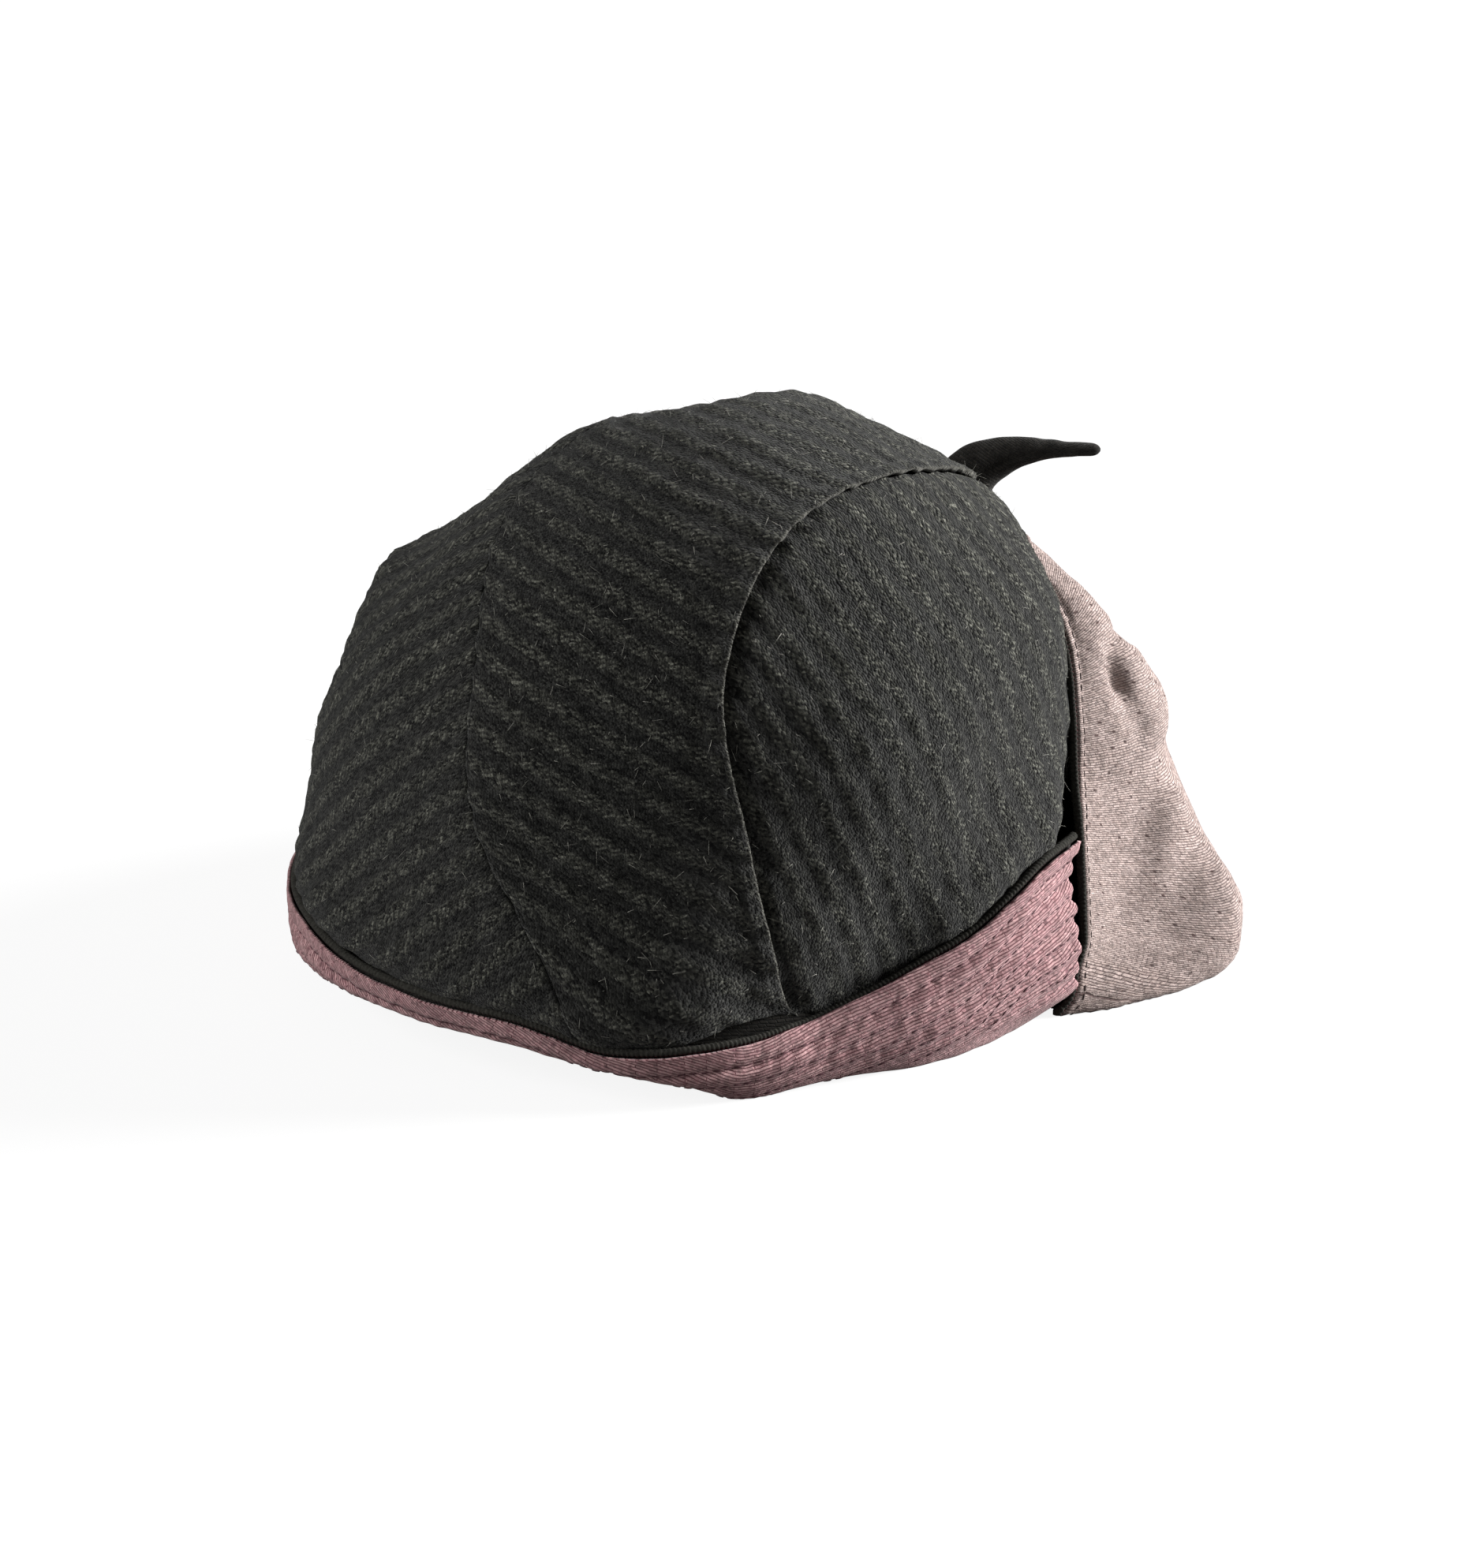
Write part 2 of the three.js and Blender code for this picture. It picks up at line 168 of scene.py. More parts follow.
# A smooth curve through one column of a table, against its key column
def lookup(rows, key, column, at):
    keys, values = rows[key], rows[column]
    last = len(keys) - 1
    order = np.arange(last + 1)
    low, high = np.maximum(order - 1, 0), np.minimum(order + 1, last)
    slope = (values[high] - values[low]) / (keys[high] - keys[low])
    k = np.clip(np.searchsorted(keys, at) - 1, 0, last - 1)
    width = keys[k + 1] - keys[k]
    t = np.clip((at - keys[k]) / width, 0, 1)
    rise = values[k + 1] - values[k]
    start, end = slope[k] * width, slope[k + 1] * width
    return values[k] + t * (start + t * (3 * rise - 2 * start - end + t * (start + end - 2 * rise)))


# The point at a share of the way along a smooth curve through points, which run along the first axis
def through(points, share):
    spans = len(points) - 1
    at = np.clip(share, 0, 1) * spans
    k = np.minimum(at.astype(int), spans - 1)
    t = (at - k)[..., None]
    whole = np.concatenate([2 * points[:1] - points[1:2], points, 2 * points[-1:] - points[-2:-1]])
    a, b, c, d = (np.take_along_axis(whole, (k + i)[None, ..., None], 0)[0] for i in range(4))
    ab, bc, cd = (np.sqrt(np.linalg.norm(q - p, axis=-1, keepdims=True)) for p, q in ((a, b), (b, c), (c, d)))
    start = bc * ((b - a) / ab - (c - a) / (ab + bc) + (c - b) / bc)
    end = bc * ((c - b) / bc - (d - b) / (bc + cd) + (d - c) / cd)
    return b + t * (start + t * (3 * (c - b) - 2 * start - end + t * (start + end - 2 * (c - b))))


def unit(vectors):
    return vectors / np.maximum(np.linalg.norm(vectors, axis=-1, keepdims=True), 1e-12)


def signed_power(values, power):
    return np.sign(values) * np.abs(values) ** power


def smooth_step(low, high, values):
    t = np.clip((values - low) / (high - low), 0, 1)
    return t * t * (3 - 2 * t)


# The outside of the crown at an angle and a section number
def crown_surface(angle, step):
    angle, step = np.broadcast_arrays(np.asarray(angle, float), np.asarray(step, float))
    near = 0
    for seam in SEAM_NAMES:
        turn = (angle - lookup(SEAMS, "step", seam, step) + 180) % 360 - 180
        near = np.maximum(near, np.exp(-((turn / SEAM_RIDGE_WIDTH) ** 2)))
    ridge = 1 + SEAM_RIDGE * near * np.clip(step - 0.3, 0, 1)
    at = {name: lookup(CROWN_SECTIONS, "step", name, step) for name in CROWN_SECTIONS}
    cos = signed_power(np.cos(np.radians(angle)), 2 / OVAL_POWER)
    sin = signed_power(np.sin(np.radians(angle)), 2 / OVAL_POWER)
    along = np.where(cos > 0, at["front"], at["back"]) * cos * ridge
    tilt = np.radians(at["tilt"])
    place = [
        at["x"] - at["half"] * sin * ridge,
        at["y"] - along * np.cos(tilt),
        at["z"] - along * np.sin(tilt),
    ]
    return np.stack(place, -1) + HEADLINE_MIDDLE


# A point out from the headline, where the brim and the peak are sewn to the crown
def from_headline(angle, out, z):
    along = crown_surface(angle + STEP, 0) - crown_surface(angle - STEP, 0)
    outward = unit(np.stack([along[..., 1], -along[..., 0], np.zeros_like(z)], -1))
    point = crown_surface(angle, 0) - outward * out[..., None]
    point[..., 2] = z
    return point


# Where a brim or peak section starts, so that both its cloths lie just under the crown's edge
def sewn_start(angle, out, z):
    top = crown_surface(angle, 0)[..., 2] - SEWN_GAP
    run = out + HEADLINE_INSET
    drop = BRIM_LAYERS * run / np.hypot(run, top - z) + SEWN_EASE
    return -HEADLINE_INSET, top - drop


# The outside of the brim: from the headline down to the fold, and up to the free edge
def brim_surface(angle, share):
    at = {name: lookup(BRIM_STATIONS, "angle", name, angle) for name in BRIM_STATIONS}
    out, low, high = at["fold_out"], at["fold_z"], at["edge_z"]
    second = (0.28 * out, low + 0.2 * (crown_surface(angle, 0)[..., 2] - low))
    section = [
        sewn_start(angle, *second),
        second,
        (0.5 * out, low),
        (0.76 * out, low),
        (0.98 * out, low + 0.3 * (high - low)),
        (at["edge_out"], high),
    ]
    point = through(np.array([np.stack(np.broadcast_arrays(x, z), -1) for x, z in section]), share)
    from_right = np.maximum(1 - (angle - BRIM_FROM) / BRIM_LEAN_REACH, 0)
    from_left = np.maximum(1 - (BRIM_TO - angle) / BRIM_LEAN_REACH, 0)
    lean = BRIM_END_LEAN * (from_left - from_right) * np.maximum(share - 0.5, 0) * 2
    height = np.maximum(point[..., 1], 0)
    return from_headline(angle + lean * point[..., 1] / BRIM_LEAN_HEIGHT, point[..., 0], height)


# The outside of the peak: from the headline out to the fold, and up to its free edge
def peak_surface(angle, share):
    at = {name: lookup(PEAK_STATIONS, "angle", name, angle) for name in PEAK_STATIONS}
    second = (0.4 * at["fold"], 0.35 * crown_surface(angle, 0)[..., 2])
    start_out, start_z = sewn_start(angle, *second)
    section = [
        (start_out, 0, start_z),
        (second[0], 0, second[1]),
        (0.66 * at["fold"], 0, -FLATTENED),
        (0.86 * at["fold"], 0, -FLATTENED),
        (0.97 * at["beak"], 0.04, 6),
        *((at[name], swing, z) for name, z, swing in PEAK_LEVELS),
        (at["edge"], 1, at["edge_z"]),
    ]
    points = np.array([np.stack(np.broadcast_arrays(angle * 0 + x, y, z), -1) for x, y, z in section])
    point = through(points, share)
    turned = angle * (1 - point[..., 1] * (1 - PEAK_END_TOP / PEAK_END))
    return from_headline(turned, point[..., 0], np.maximum(point[..., 2], 0))


# The direction into the cloth at each point of a grid
def into(points):
    return unit(np.cross(np.gradient(points, axis=0), np.gradient(points, axis=1)))


def lengths_along(points, axis):
    steps = np.linalg.norm(np.diff(points, axis=axis), axis=-1)
    return np.concatenate([np.zeros_like(np.take(steps, [0], axis)), np.cumsum(steps, axis)], axis)


# Soft random swells of a given size, alike on pieces that meet
def swells(points, size, seed):
    flat = points.reshape(-1, 3) / size + seed
    return np.array([noise.noise(Vector(place)) for place in flat]).reshape(points.shape[:-1])


# A grid's places on the flat cloth: its middle line keeps its bend, and each row its angle to that line
def unrolled(points):
    middle = len(points) // 2
    line = points[middle]
    across = np.gradient(points, axis=0)[middle]
    ahead = unit(np.gradient(points, axis=1)[middle])
    normal = unit(np.cross(across, ahead))
    beside = np.cross(normal, ahead)
    turn = np.arctan2((ahead[1:] * beside[:-1]).sum(-1), (ahead[1:] * ahead[:-1]).sum(-1))
    heading = np.pi / 2 + np.concatenate([[0], np.cumsum(turn)])
    steps = np.concatenate([[0], np.linalg.norm(np.diff(line, axis=0), axis=-1)])
    flat_line = np.stack([np.cumsum(steps * np.cos(heading)), np.cumsum(steps * np.sin(heading))], -1)
    row = unit(across)
    skew = np.arctan2((row * beside).sum(-1), (row * ahead).sum(-1))
    ray = np.stack([np.cos(heading + skew), np.sin(heading + skew)], -1)
    away = lengths_along(points, 0)
    return flat_line + (away - away[middle])[..., None] * ray


# Colours and materials
def linear(code):
    parts = [int(code[k:k + 2], 16) / 255 for k in (1, 3, 5)]
    return [c / 12.92 if c <= 0.04045 else ((c + 0.055) / 1.055) ** 2.4 for c in parts] + [1]


def add(tree, kind, inputs, **settings):
    made = tree.nodes.new("ShaderNode" + kind)
    for name, value in settings.items():
        setattr(made, name, value)
    for name, value in inputs.items():
        if isinstance(value, bpy.types.NodeSocket):
            tree.links.new(value, made.inputs[name])
        else:
            made.inputs[name].default_value = value
    return made


def blank_material(name):
    material = bpy.data.materials.new(name)
    material.use_nodes = True
    tree = material.node_tree
    return material, tree, tree.nodes["Principled BSDF"]


def ranged(tree, value, low, high, to_low=0, to_high=1, **how):
    limits = {"Value": value, "From Min": low, "From Max": high, "To Min": to_low, "To Max": to_high}
    return add(tree, "MapRange", limits, **how).outputs[0]


def blended(tree, share, first, second, **how):
    return add(tree, "Mix", {0: share, 6: first, 7: second}, data_type="RGBA", **how).outputs[2]


def tinted(tree, colour, shade):
    return blended(tree, 1.0, colour, shade, blend_type="MULTIPLY")


def worked(tree, operation, *values):
    return add(tree, "Math", dict(enumerate(values)), operation=operation).outputs[0]


def clouds(tree, place, scale, detail, roughness=0.5):
    return add(tree, "TexNoise", {"Vector": place, "Scale": scale, "Detail": detail, "Roughness": roughness})


def cells(tree, place):
    return add(tree, "TexVoronoi", {"Vector": place, "Scale": 1}, voronoi_dimensions="2D")


def cloth_map(tree):
    return add(tree, "UVMap", {}, uv_map="cloth").outputs["UV"]


# The cloth's map, wandering a little as uneven yarns do
def wandering(tree, cloth, size, reach):
    wander = clouds(tree, cloth, 1 / size, 3).outputs["Color"]
    parts = {0: wander, 1: (reach, reach, 0), 2: cloth}
    return add(tree, "VectorMath", parts, operation="MULTIPLY_ADD").outputs[0]


def dress(tree, shader, colour, height, strength, distance, finish):
    tree.links.new(colour, shader.inputs["Base Color"])
    bump = add(tree, "Bump", {"Height": height, "Strength": strength, "Distance": distance * MM}).outputs[0]
    tree.links.new(bump, shader.inputs["Normal"])
    for name, value in finish.items():
        shader.inputs[name].default_value = value


# Wool twill: matt and dark, with a grain of fine yarn crossings. Thin pale dashes of yarn float on it
# in bands, so the stripes stay quiet. The real crossings are finer, too fine for the picture.
def charcoal_wool_twill():
    material, tree, shader = blank_material("charcoal_wool_twill")
    cloth = cloth_map(tree)
    uneven = wandering(tree, cloth, 6, 2.2)
    bands = add(tree, "TexWave", {"Vector": uneven, "Scale": math.pi / 10 / STRIPE_PERIOD, "Distortion": 0},
                bands_direction="X").outputs["Fac"]
    band = ranged(tree, bands, 0.25, 0.85, interpolation_type="SMOOTHSTEP")
    turned = add(tree, "Mapping", {"Vector": uneven, "Rotation": (0, 0, math.radians(-40))}).outputs[0]
    floats = add(tree, "TexBrick", {
        "Vector": turned, "Scale": 1,
        "Color1": linear("#53534c"), "Color2": linear("#33332f"), "Mortar": linear("#30302c"),
        "Mortar Size": 0.38, "Mortar Smooth": 0.5, "Brick Width": 1.2, "Row Height": 3.4,
    }, offset=0.37)
    striped = blended(tree, band, linear("#262624"), floats.outputs["Color"])
    crossing = add(tree, "Mapping", {"Vector": cloth, "Rotation": (0, 0, math.radians(-18)),
                                     "Scale": (1.9, 1.3, 1)}).outputs[0]
    yarns = cells(tree, crossing)
    grain = ranged(tree, yarns.outputs["Color"], 0.2, 0.8, 0.15, 2.0)
    place = add(tree, "TexCoord", {}).outputs["Object"]
    fibre = clouds(tree, place, 1.1 / MM, 4, 0.75).outputs["Fac"]
    shade = ranged(tree, fibre, 0.3, 0.72, 0.3, 1.85)
    dyed = tinted(tree, striped, worked(tree, "MULTIPLY", grain, shade))
    # A pale line painted along the felled seam's edge: pale fuzz, and a painted highlight where the raised
    # edge catches the light
    fuzz_and_highlight = add(tree, "Attribute", {}, attribute_name="fuzz_and_highlight").outputs["Fac"]
    mixed = blended(tree, worked(tree, "MULTIPLY", fuzz_and_highlight, shade), dyed, linear("#7c7a72"))
    rounded = worked(tree, "MULTIPLY_ADD", yarns.outputs["Distance"], -0.7, fibre)
    dress(tree, shader, mixed, rounded, 1.0, 0.7, {
        "Roughness": 0.9, "Specular IOR Level": 0.2, "Sheen Weight": 0.1, "Sheen Roughness": 0.35,
    })
    return material


# Canvas woven from mixed yarns: matt, with lines of weave, pale and deep yarns side by side and a faint pile.
# The lines are drawn a little coarser than the real ones, which are too fine for the picture.
def melange_canvas(name, pale, middle, deep, slub, thread, long, bump_height):
    material, tree, shader = blank_material(name)
    uneven = wandering(tree, cloth_map(tree), 4, 0.6)
    weave = add(tree, "TexBrick", {
        "Vector": uneven, "Scale": 1,
        "Color1": linear(pale), "Color2": linear(middle), "Mortar": linear(deep),
        "Mortar Size": 0.22 * thread, "Mortar Smooth": 0.8, "Brick Width": long, "Row Height": thread,
    }, offset=0.43)
    crossing = add(tree, "Mapping", {"Vector": uneven, "Scale": (0.8 / thread, 1 / thread, 1)}).outputs[0]
    grain = ranged(tree, cells(tree, crossing).outputs["Color"], 0.2, 0.8, 0.74, 1.26)
    place = add(tree, "TexCoord", {}).outputs["Object"]
    fibre = clouds(tree, place, 0.9 / MM, 4, 0.7).outputs["Fac"]
    specks = ranged(tree, fibre, 0.52, 0.74)
    flecked = blended(tree, specks, weave.outputs["Color"], linear(deep))
    thrown = add(tree, "Mapping", {"Vector": uneven, "Scale": (0.17, 0.26, 1)}).outputs[0]
    lumps = cells(tree, thrown)
    near = ranged(tree, lumps.outputs["Distance"], 0.07, 0.15, 1, 0)
    chosen = ranged(tree, lumps.outputs["Color"], 0.4, 0.7)
    flecked = blended(tree, worked(tree, "MULTIPLY", near, chosen), flecked, linear(slub))
    cloudy = ranged(tree, clouds(tree, place, 1 / 18 / MM, 3).outputs["Fac"], 0.3, 0.7, 0.88, 1.1)
    mixed = tinted(tree, flecked, worked(tree, "MULTIPLY", grain, cloudy))
    height = worked(tree, "SUBTRACT", fibre, weave.outputs["Fac"])
    dress(tree, shader, mixed, height, 0.9, bump_height, {
        "Roughness": 0.95, "Specular IOR Level": 0.15, "Sheen Weight": 0.12, "Sheen Roughness": 0.5,
    })
    return material


# Plain fulled wool, as bindings, the hidden shells and the stalk have it: matt and nearly black.
def charcoal_cloth():
    return melange_canvas("charcoal_cloth", "#34312d", "#282622", "#191816", "#201e1c", 0.9, 2.3, 0.2)


# A rolled edging of that wool, with a line of burgundy where it is sewn to the facing
def charcoal_edging():
    material, tree, shader = blank_material("charcoal_rolled_edging")
    around = add(tree, "SeparateXYZ", {"Vector": cloth_map(tree)}).outputs["X"]
    away = worked(tree, "ABSOLUTE", worked(tree, "SUBTRACT", around, EDGING_LINE))
    line = ranged(tree, away, 0.35, 0.6, 1, 0)
    place = add(tree, "TexCoord", {}).outputs["Object"]
    fibre = clouds(tree, place, 1.4 / MM, 4, 0.7).outputs["Fac"]
    dyed = blended(tree, line, linear("#302f2b"), linear("#5e2f37"))
    mixed = tinted(tree, dyed, ranged(tree, fibre, 0.3, 0.7, 0.4, 1.6))
    dress(tree, shader, mixed, fibre, 1.0, 0.25, {"Roughness": 0.95, "Specular IOR Level": 0.15})
    return material


# Spun sewing thread: a dull strand whose fibres catch a little light.
def sewing_thread(name, colour):
    material, tree, shader = blank_material(name)
    place = add(tree, "TexCoord", {}).outputs["Object"]
    fibre = clouds(tree, place, 2 / MM, 2).outputs["Fac"]
    mixed = tinted(tree, linear(colour), ranged(tree, fibre, 0, 1, 0.6, 1.4))
    tree.links.new(mixed, shader.inputs["Base Color"])
    shader.inputs["Roughness"].default_value = 0.8
    return material


EDGING_LINE = 4.4
TWILL = charcoal_wool_twill()
EDGING = charcoal_edging()
CHARCOAL = charcoal_cloth()
MAUVE = melange_canvas("mauve_melange_canvas", "#c09b9b", "#ab8486", "#774b50", "#805a5f", 0.72, 12, 0.3)
TAUPE = melange_canvas("taupe_melange_canvas", "#c1afa9", "#a99790", "#776461", "#54403d", 0.7, 3, 0.3)
DARK_THREAD = sewing_thread("charcoal_sewing_thread", "#191917")
WINE_THREAD = sewing_thread("burgundy_sewing_thread", "#552f37")
TAUPE_THREAD = sewing_thread("taupe_sewing_thread", "#4d403d")
PALE_THREAD = sewing_thread("pale_wool_fibre", "#a09e95")


def place_piece(name, mesh, material, node=None):
    piece = bpy.data.objects.new(name, mesh)
    bpy.context.scene.collection.objects.link(piece)
    mesh.materials.append(material)
    mesh.shade_smooth()
    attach(piece, "root")
    if node:
        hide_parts(node)
    return piece


# A mesh over a grid of points, with the flat cloth's places in millimetres as its map
def grid_mesh(name, points, flat, fuzz_and_highlight=None):
    columns, rows = points.shape[0] - 1, points.shape[1] - 1
    form = bmesh.new()
    bmesh.ops.create_grid(form, x_segments=columns, y_segments=rows, size=0.5)
    bmesh.ops.reverse_faces(form, faces=form.faces)
    mesh = bpy.data.meshes.new(name)
    form.to_mesh(mesh)
    form.free()
    square = np.empty(3 * len(mesh.vertices), np.float32)
    mesh.vertices.foreach_get("co", square)
    square = square.reshape(-1, 3)
    i = np.rint((square[:, 0] + 0.5) * columns).astype(int)
    j = np.rint((square[:, 1] + 0.5) * rows).astype(int)
    mesh.vertices.foreach_set("co", (points[i, j] * MM).astype(np.float32).ravel())
    corners = np.empty(len(mesh.loops), np.int32)
    mesh.loops.foreach_get("vertex_index", corners)
    layer = mesh.uv_layers.new(name="cloth")
    layer.uv.foreach_set("vector", flat[i[corners], j[corners]].astype(np.float32).ravel())
    # An optional pale line painted on the cloth: pale fuzz and a painted highlight
    if fuzz_and_highlight is not None:
        fuzz_highlight_layer = mesh.attributes.new("fuzz_and_highlight", "FLOAT", "POINT")
        fuzz_highlight_layer.data.foreach_set("value", fuzz_and_highlight[i, j].astype(np.float32))
    mesh.update()
    return mesh


# A sheet of cloth over a grid of points on its outer face
def cloth_piece(name, node, points, flat, thickness, material, fuzz_and_highlight=None):
    piece = place_piece(name, grid_mesh(name, points, flat, fuzz_and_highlight), material, node)
    wall = piece.modifiers.new("thickness", "SOLIDIFY")
    wall.thickness = thickness * MM
    wall.offset = -1
    weight = np.ones(points.shape[:2])
    weight[[0, -1]] *= 0.5
    weight[:, [0, -1]] *= 0.5
    width = lengths_along(points, 0)[-1].max()
    length = lengths_along(points, 1)[:, -1].max()
    return piece


# How far the headline's outward direction puts a point beyond the headline at an angle
def beyond_headline(angle, points):
    along = crown_surface(angle + STEP, 0) - crown_surface(angle - STEP, 0)
    outward = unit(np.stack([-along[..., 1], along[..., 0], np.zeros_like(angle)], -1))
    return ((points - crown_surface(angle, 0)) * outward).sum(-1), outward


# The set of the worn brim: how far its edge leans in, how much higher it stands, and how far it stands out
BRIM_SET = table("angle lean rise swing", [
    [73, 0, 2.2, 0],
    [80, 0.2, 2.8, 0.7],
    [86, 1.4, -0.9, 1.5],
    [91.5, 3.8, -6.2, 1.7],
    [97, 5.4, -7.8, 1],
    [103, 5.6, -8.6, -0.3],
    [108.5, 5.4, -8.2, -1.2],
    [114, 5, -7.2, -1.5],
    [119, 4, -5, -1],
    [124.5, 2.4, -3, -0.4],
    [129.5, 0.9, -1.1, 0],
    [136, 0, 0, 0],
    [186, 0, 0, 0],
    [206, 0, 3.4, 0],
    [218, 0, 4.6, 0],
    [230, 0, 5.4, 0],
    [252, 0, 0, 0],
    [287, 0, 0, 0],
])


def brim_lean(angle):
    return lookup(BRIM_SET, "angle", "lean", angle)


def brim_rise(angle):
    return lookup(BRIM_SET, "angle", "rise", angle)


def brim_swing(angle):
    return lookup(BRIM_SET, "angle", "swing", angle)


# Where the crown's cloth slouches out and down to the brim's rolled edge, for a row of angles:
# the length of cloth from the headline to that edge, and how far it moves out and up
def slouch_table():
    angle = np.linspace(BRIM_FROM, BRIM_TO, SLOUCH_COLUMNS)
    steps = np.linspace(0, SLOUCH_TOP, SLOUCH_ROWS)
    column = crown_surface(angle[:, None], steps)
    out, _ = beyond_headline(np.broadcast_to(angle[:, None], column.shape[:-1]), column)
    cloth = lengths_along(column, 1)
    edge_out = lookup(BRIM_STATIONS, "angle", "edge_out", angle) - brim_lean(angle)
    edge_out = edge_out + brim_swing(angle) - BRIM_DEPTH
    edge_z = lookup(BRIM_STATIONS, "angle", "edge_z", angle) + brim_rise(angle) + BINDING_ALONG
    rows = []
    for k in range(len(angle)):
        reach = max(SLOUCH_LEAST, np.interp(edge_z[k], column[k, :, 2], cloth[k]))
        move_out = max(edge_out[k] - np.interp(reach, cloth[k], out[k]), 0)
        move_up = min(edge_z[k] - np.interp(reach, cloth[k], column[k, :, 2]), 0)
        rows.append([angle[k], reach, move_out, move_up])
    return table("angle reach out up", rows)


# Gores of the crown
FACING = 0.9
LINING = 0.8
LAYER_GAP = 0.1
SEAM_LAP = 0.15
SEAM_DIP = 0.4
SEAM_DIP_WIDTH = 1.1
FELL_WIDTH = 5.4
FELL_RISE = 0.7
FELL_STARTS = (22, 40)
RIB_HEIGHT = 0.42
PUCKER = 0.16
SLOUCH_COLUMNS = 215
SLOUCH_ROWS = 90
SLOUCH_TOP = 2.2
SLOUCH_LEAST = 7
SLOUCH_ABOVE = 18
SLOUCH_END = 14
SLOUCH_END_LAP = 2
SLOUCH_LESS = 0.6
SLOUCH_LESS_FROM = (88, 100)
SLOUCH_LESS_TO = (138, 116)
TUCK_UNDER = 2.2
TUCK_HEIGHTS = (60, 24)
LOOSE_FROM = (0, 9)
BULGE = 4.8
BULGE_LEVEL = 92
BULGE_HEIGHT = 31
BULGE_FROM = (52, 74)
BULGE_TO = (132, 108)
SEAM_VALLEY = 1.5
SEAM_VALLEY_WIDTH = 4.2
BINDING_ACROSS = 1.2
BINDING_ALONG = 0.95
BRIM_DEPTH = FACING + LAYER_GAP / 2 + BINDING_ACROSS + 0.15
SLOUCH = slouch_table()


def gore_grid(first_seam, last_seam, turns, size):
    steps = np.linspace(0, CROWN_END, FINE_STEPS)
    first, last = (lookup(SEAMS, "step", seam, steps) for seam in (first_seam, last_seam))
    middle = (first + last + turns) / 2
    line = lengths_along(crown_surface(middle, steps), 0)
    rows = int(line[-1] / size)
    step = np.interp(np.linspace(0, line[-1], rows + 1), line, steps)
    first = lookup(SEAMS, "step", first_seam, step)
    last = lookup(SEAMS, "step", last_seam, step) + turns
    scale = [np.linalg.norm(crown_surface(edge + 0.1, step) - crown_surface(edge - 0.1, step), axis=-1) / 0.2
             for edge in (first, last)]
    first = first - SEAM_LAP / scale[0]
    last = last + SEAM_LAP / scale[1]
    rough = crown_surface(first + (last - first) * np.linspace(0, 1, 60)[:, None], step)
    columns = int(lengths_along(rough, 0)[-1].max() / size)
    angle = first + (last - first) * np.linspace(0, 1, columns + 1)[:, None]
    points = crown_surface(angle, step)
    return points + slouch(angle, points), unrolled(points)


# The crown's cloth slouching out to the brim's edge, from the headline to a little above that edge
def slouch(angle, points):
    angle = angle % 360
    cloth = lengths_along(points, 1)
    reach, out, up = (np.interp(angle, SLOUCH["angle"], SLOUCH[name]) for name in ("reach", "out", "up"))
    amount = smooth_step(0, reach, cloth) * np.exp(-((np.maximum(cloth - reach, 0) / SLOUCH_ABOVE) ** 2))
    amount = amount * smooth_step(BRIM_FROM - SLOUCH_END, BRIM_FROM + SLOUCH_END_LAP, angle)
    amount = amount * smooth_step(BRIM_TO + SLOUCH_END, BRIM_TO - SLOUCH_END_LAP, angle)
    outward = beyond_headline(angle, points)[1]
    less = SLOUCH_LESS * smooth_step(*SLOUCH_LESS_FROM, angle) * smooth_step(*SLOUCH_LESS_TO, angle)
    amount = amount * (1 - less)
    moved = outward * out[..., None]
    moved[..., 2] = up
    tucked = TUCK_UNDER * smooth_step(*TUCK_HEIGHTS, points[..., 2]) * smooth_step(*LOOSE_FROM, cloth)
    bulge = BULGE * np.exp(-(((points[..., 2] - BULGE_LEVEL) / BULGE_HEIGHT) ** 2))
    right = smooth_step(*BULGE_FROM, angle) * smooth_step(*BULGE_TO, angle)
    return moved * amount[..., None] + outward * ((bulge - tucked) * right)[..., None]


# Rows of small stitches, each a flattened bead let into the cloth: how long, how far apart, how thick,
# and how high above the cloth
FELL_STITCHES = (2.0, 2.9, 0.13, 0)
GROOVE_STITCHES = (2.2, 3.6, 0.18, 0.03)
QUILT_STITCHES = (2.2, 3, 0.25, 0.1)
EDGE_STITCHES = (1.9, 2.8, 0.2, 0.1)
STITCH_BEAD = bpy.data.meshes.new("stitch_bead")
bead = bmesh.new()
bmesh.ops.create_uvsphere(bead, u_segments=6, v_segments=4, radius=1)
bead.to_mesh(STITCH_BEAD)
bead.free()


def scattered(name, template, places, material):
    form = bmesh.new()
    for _ in places:
        form.from_mesh(template)
    mesh = bpy.data.meshes.new(name)
    form.to_mesh(mesh)
    form.free()
    local = np.array([vertex.co for vertex in template.vertices])
    corners = np.einsum("nij,vj->nvi", places[:, :3, :3], local) + places[:, None, :3, 3]
    mesh.vertices.foreach_set("co", (corners * MM).astype(np.float32).ravel())
    mesh.update()
    return place_piece(name, mesh, material)


# Stitches along a line on the cloth, given the line's points and the directions out of the cloth
def stitch_places(line, outward, long, pitch, thick, lift):
    length = lengths_along(line, 0)
    at = np.arange(pitch, length[-1] - pitch, pitch)
    at = at + np.array([random.uniform(-0.12, 0.12) for _ in at]) * pitch
    spot, up = (np.stack([np.interp(at, length, axis) for axis in part.T], -1) for part in (line, outward))
    ahead = np.stack([np.interp(at + long / 2, length, axis) - np.interp(at - long / 2, length, axis)
                      for axis in line.T], -1)
    ahead = unit(ahead)
    up = unit(up - ahead * (up * ahead).sum(-1, keepdims=True))
    side = np.cross(up, ahead)
    places = np.zeros((len(at), 4, 4))
    places[:, :3, 0] = side * thick
    places[:, :3, 1] = up * thick * 0.8
    places[:, :3, 2] = ahead * long / 2
    places[:, :3, 3] = spot + up * lift
    return places


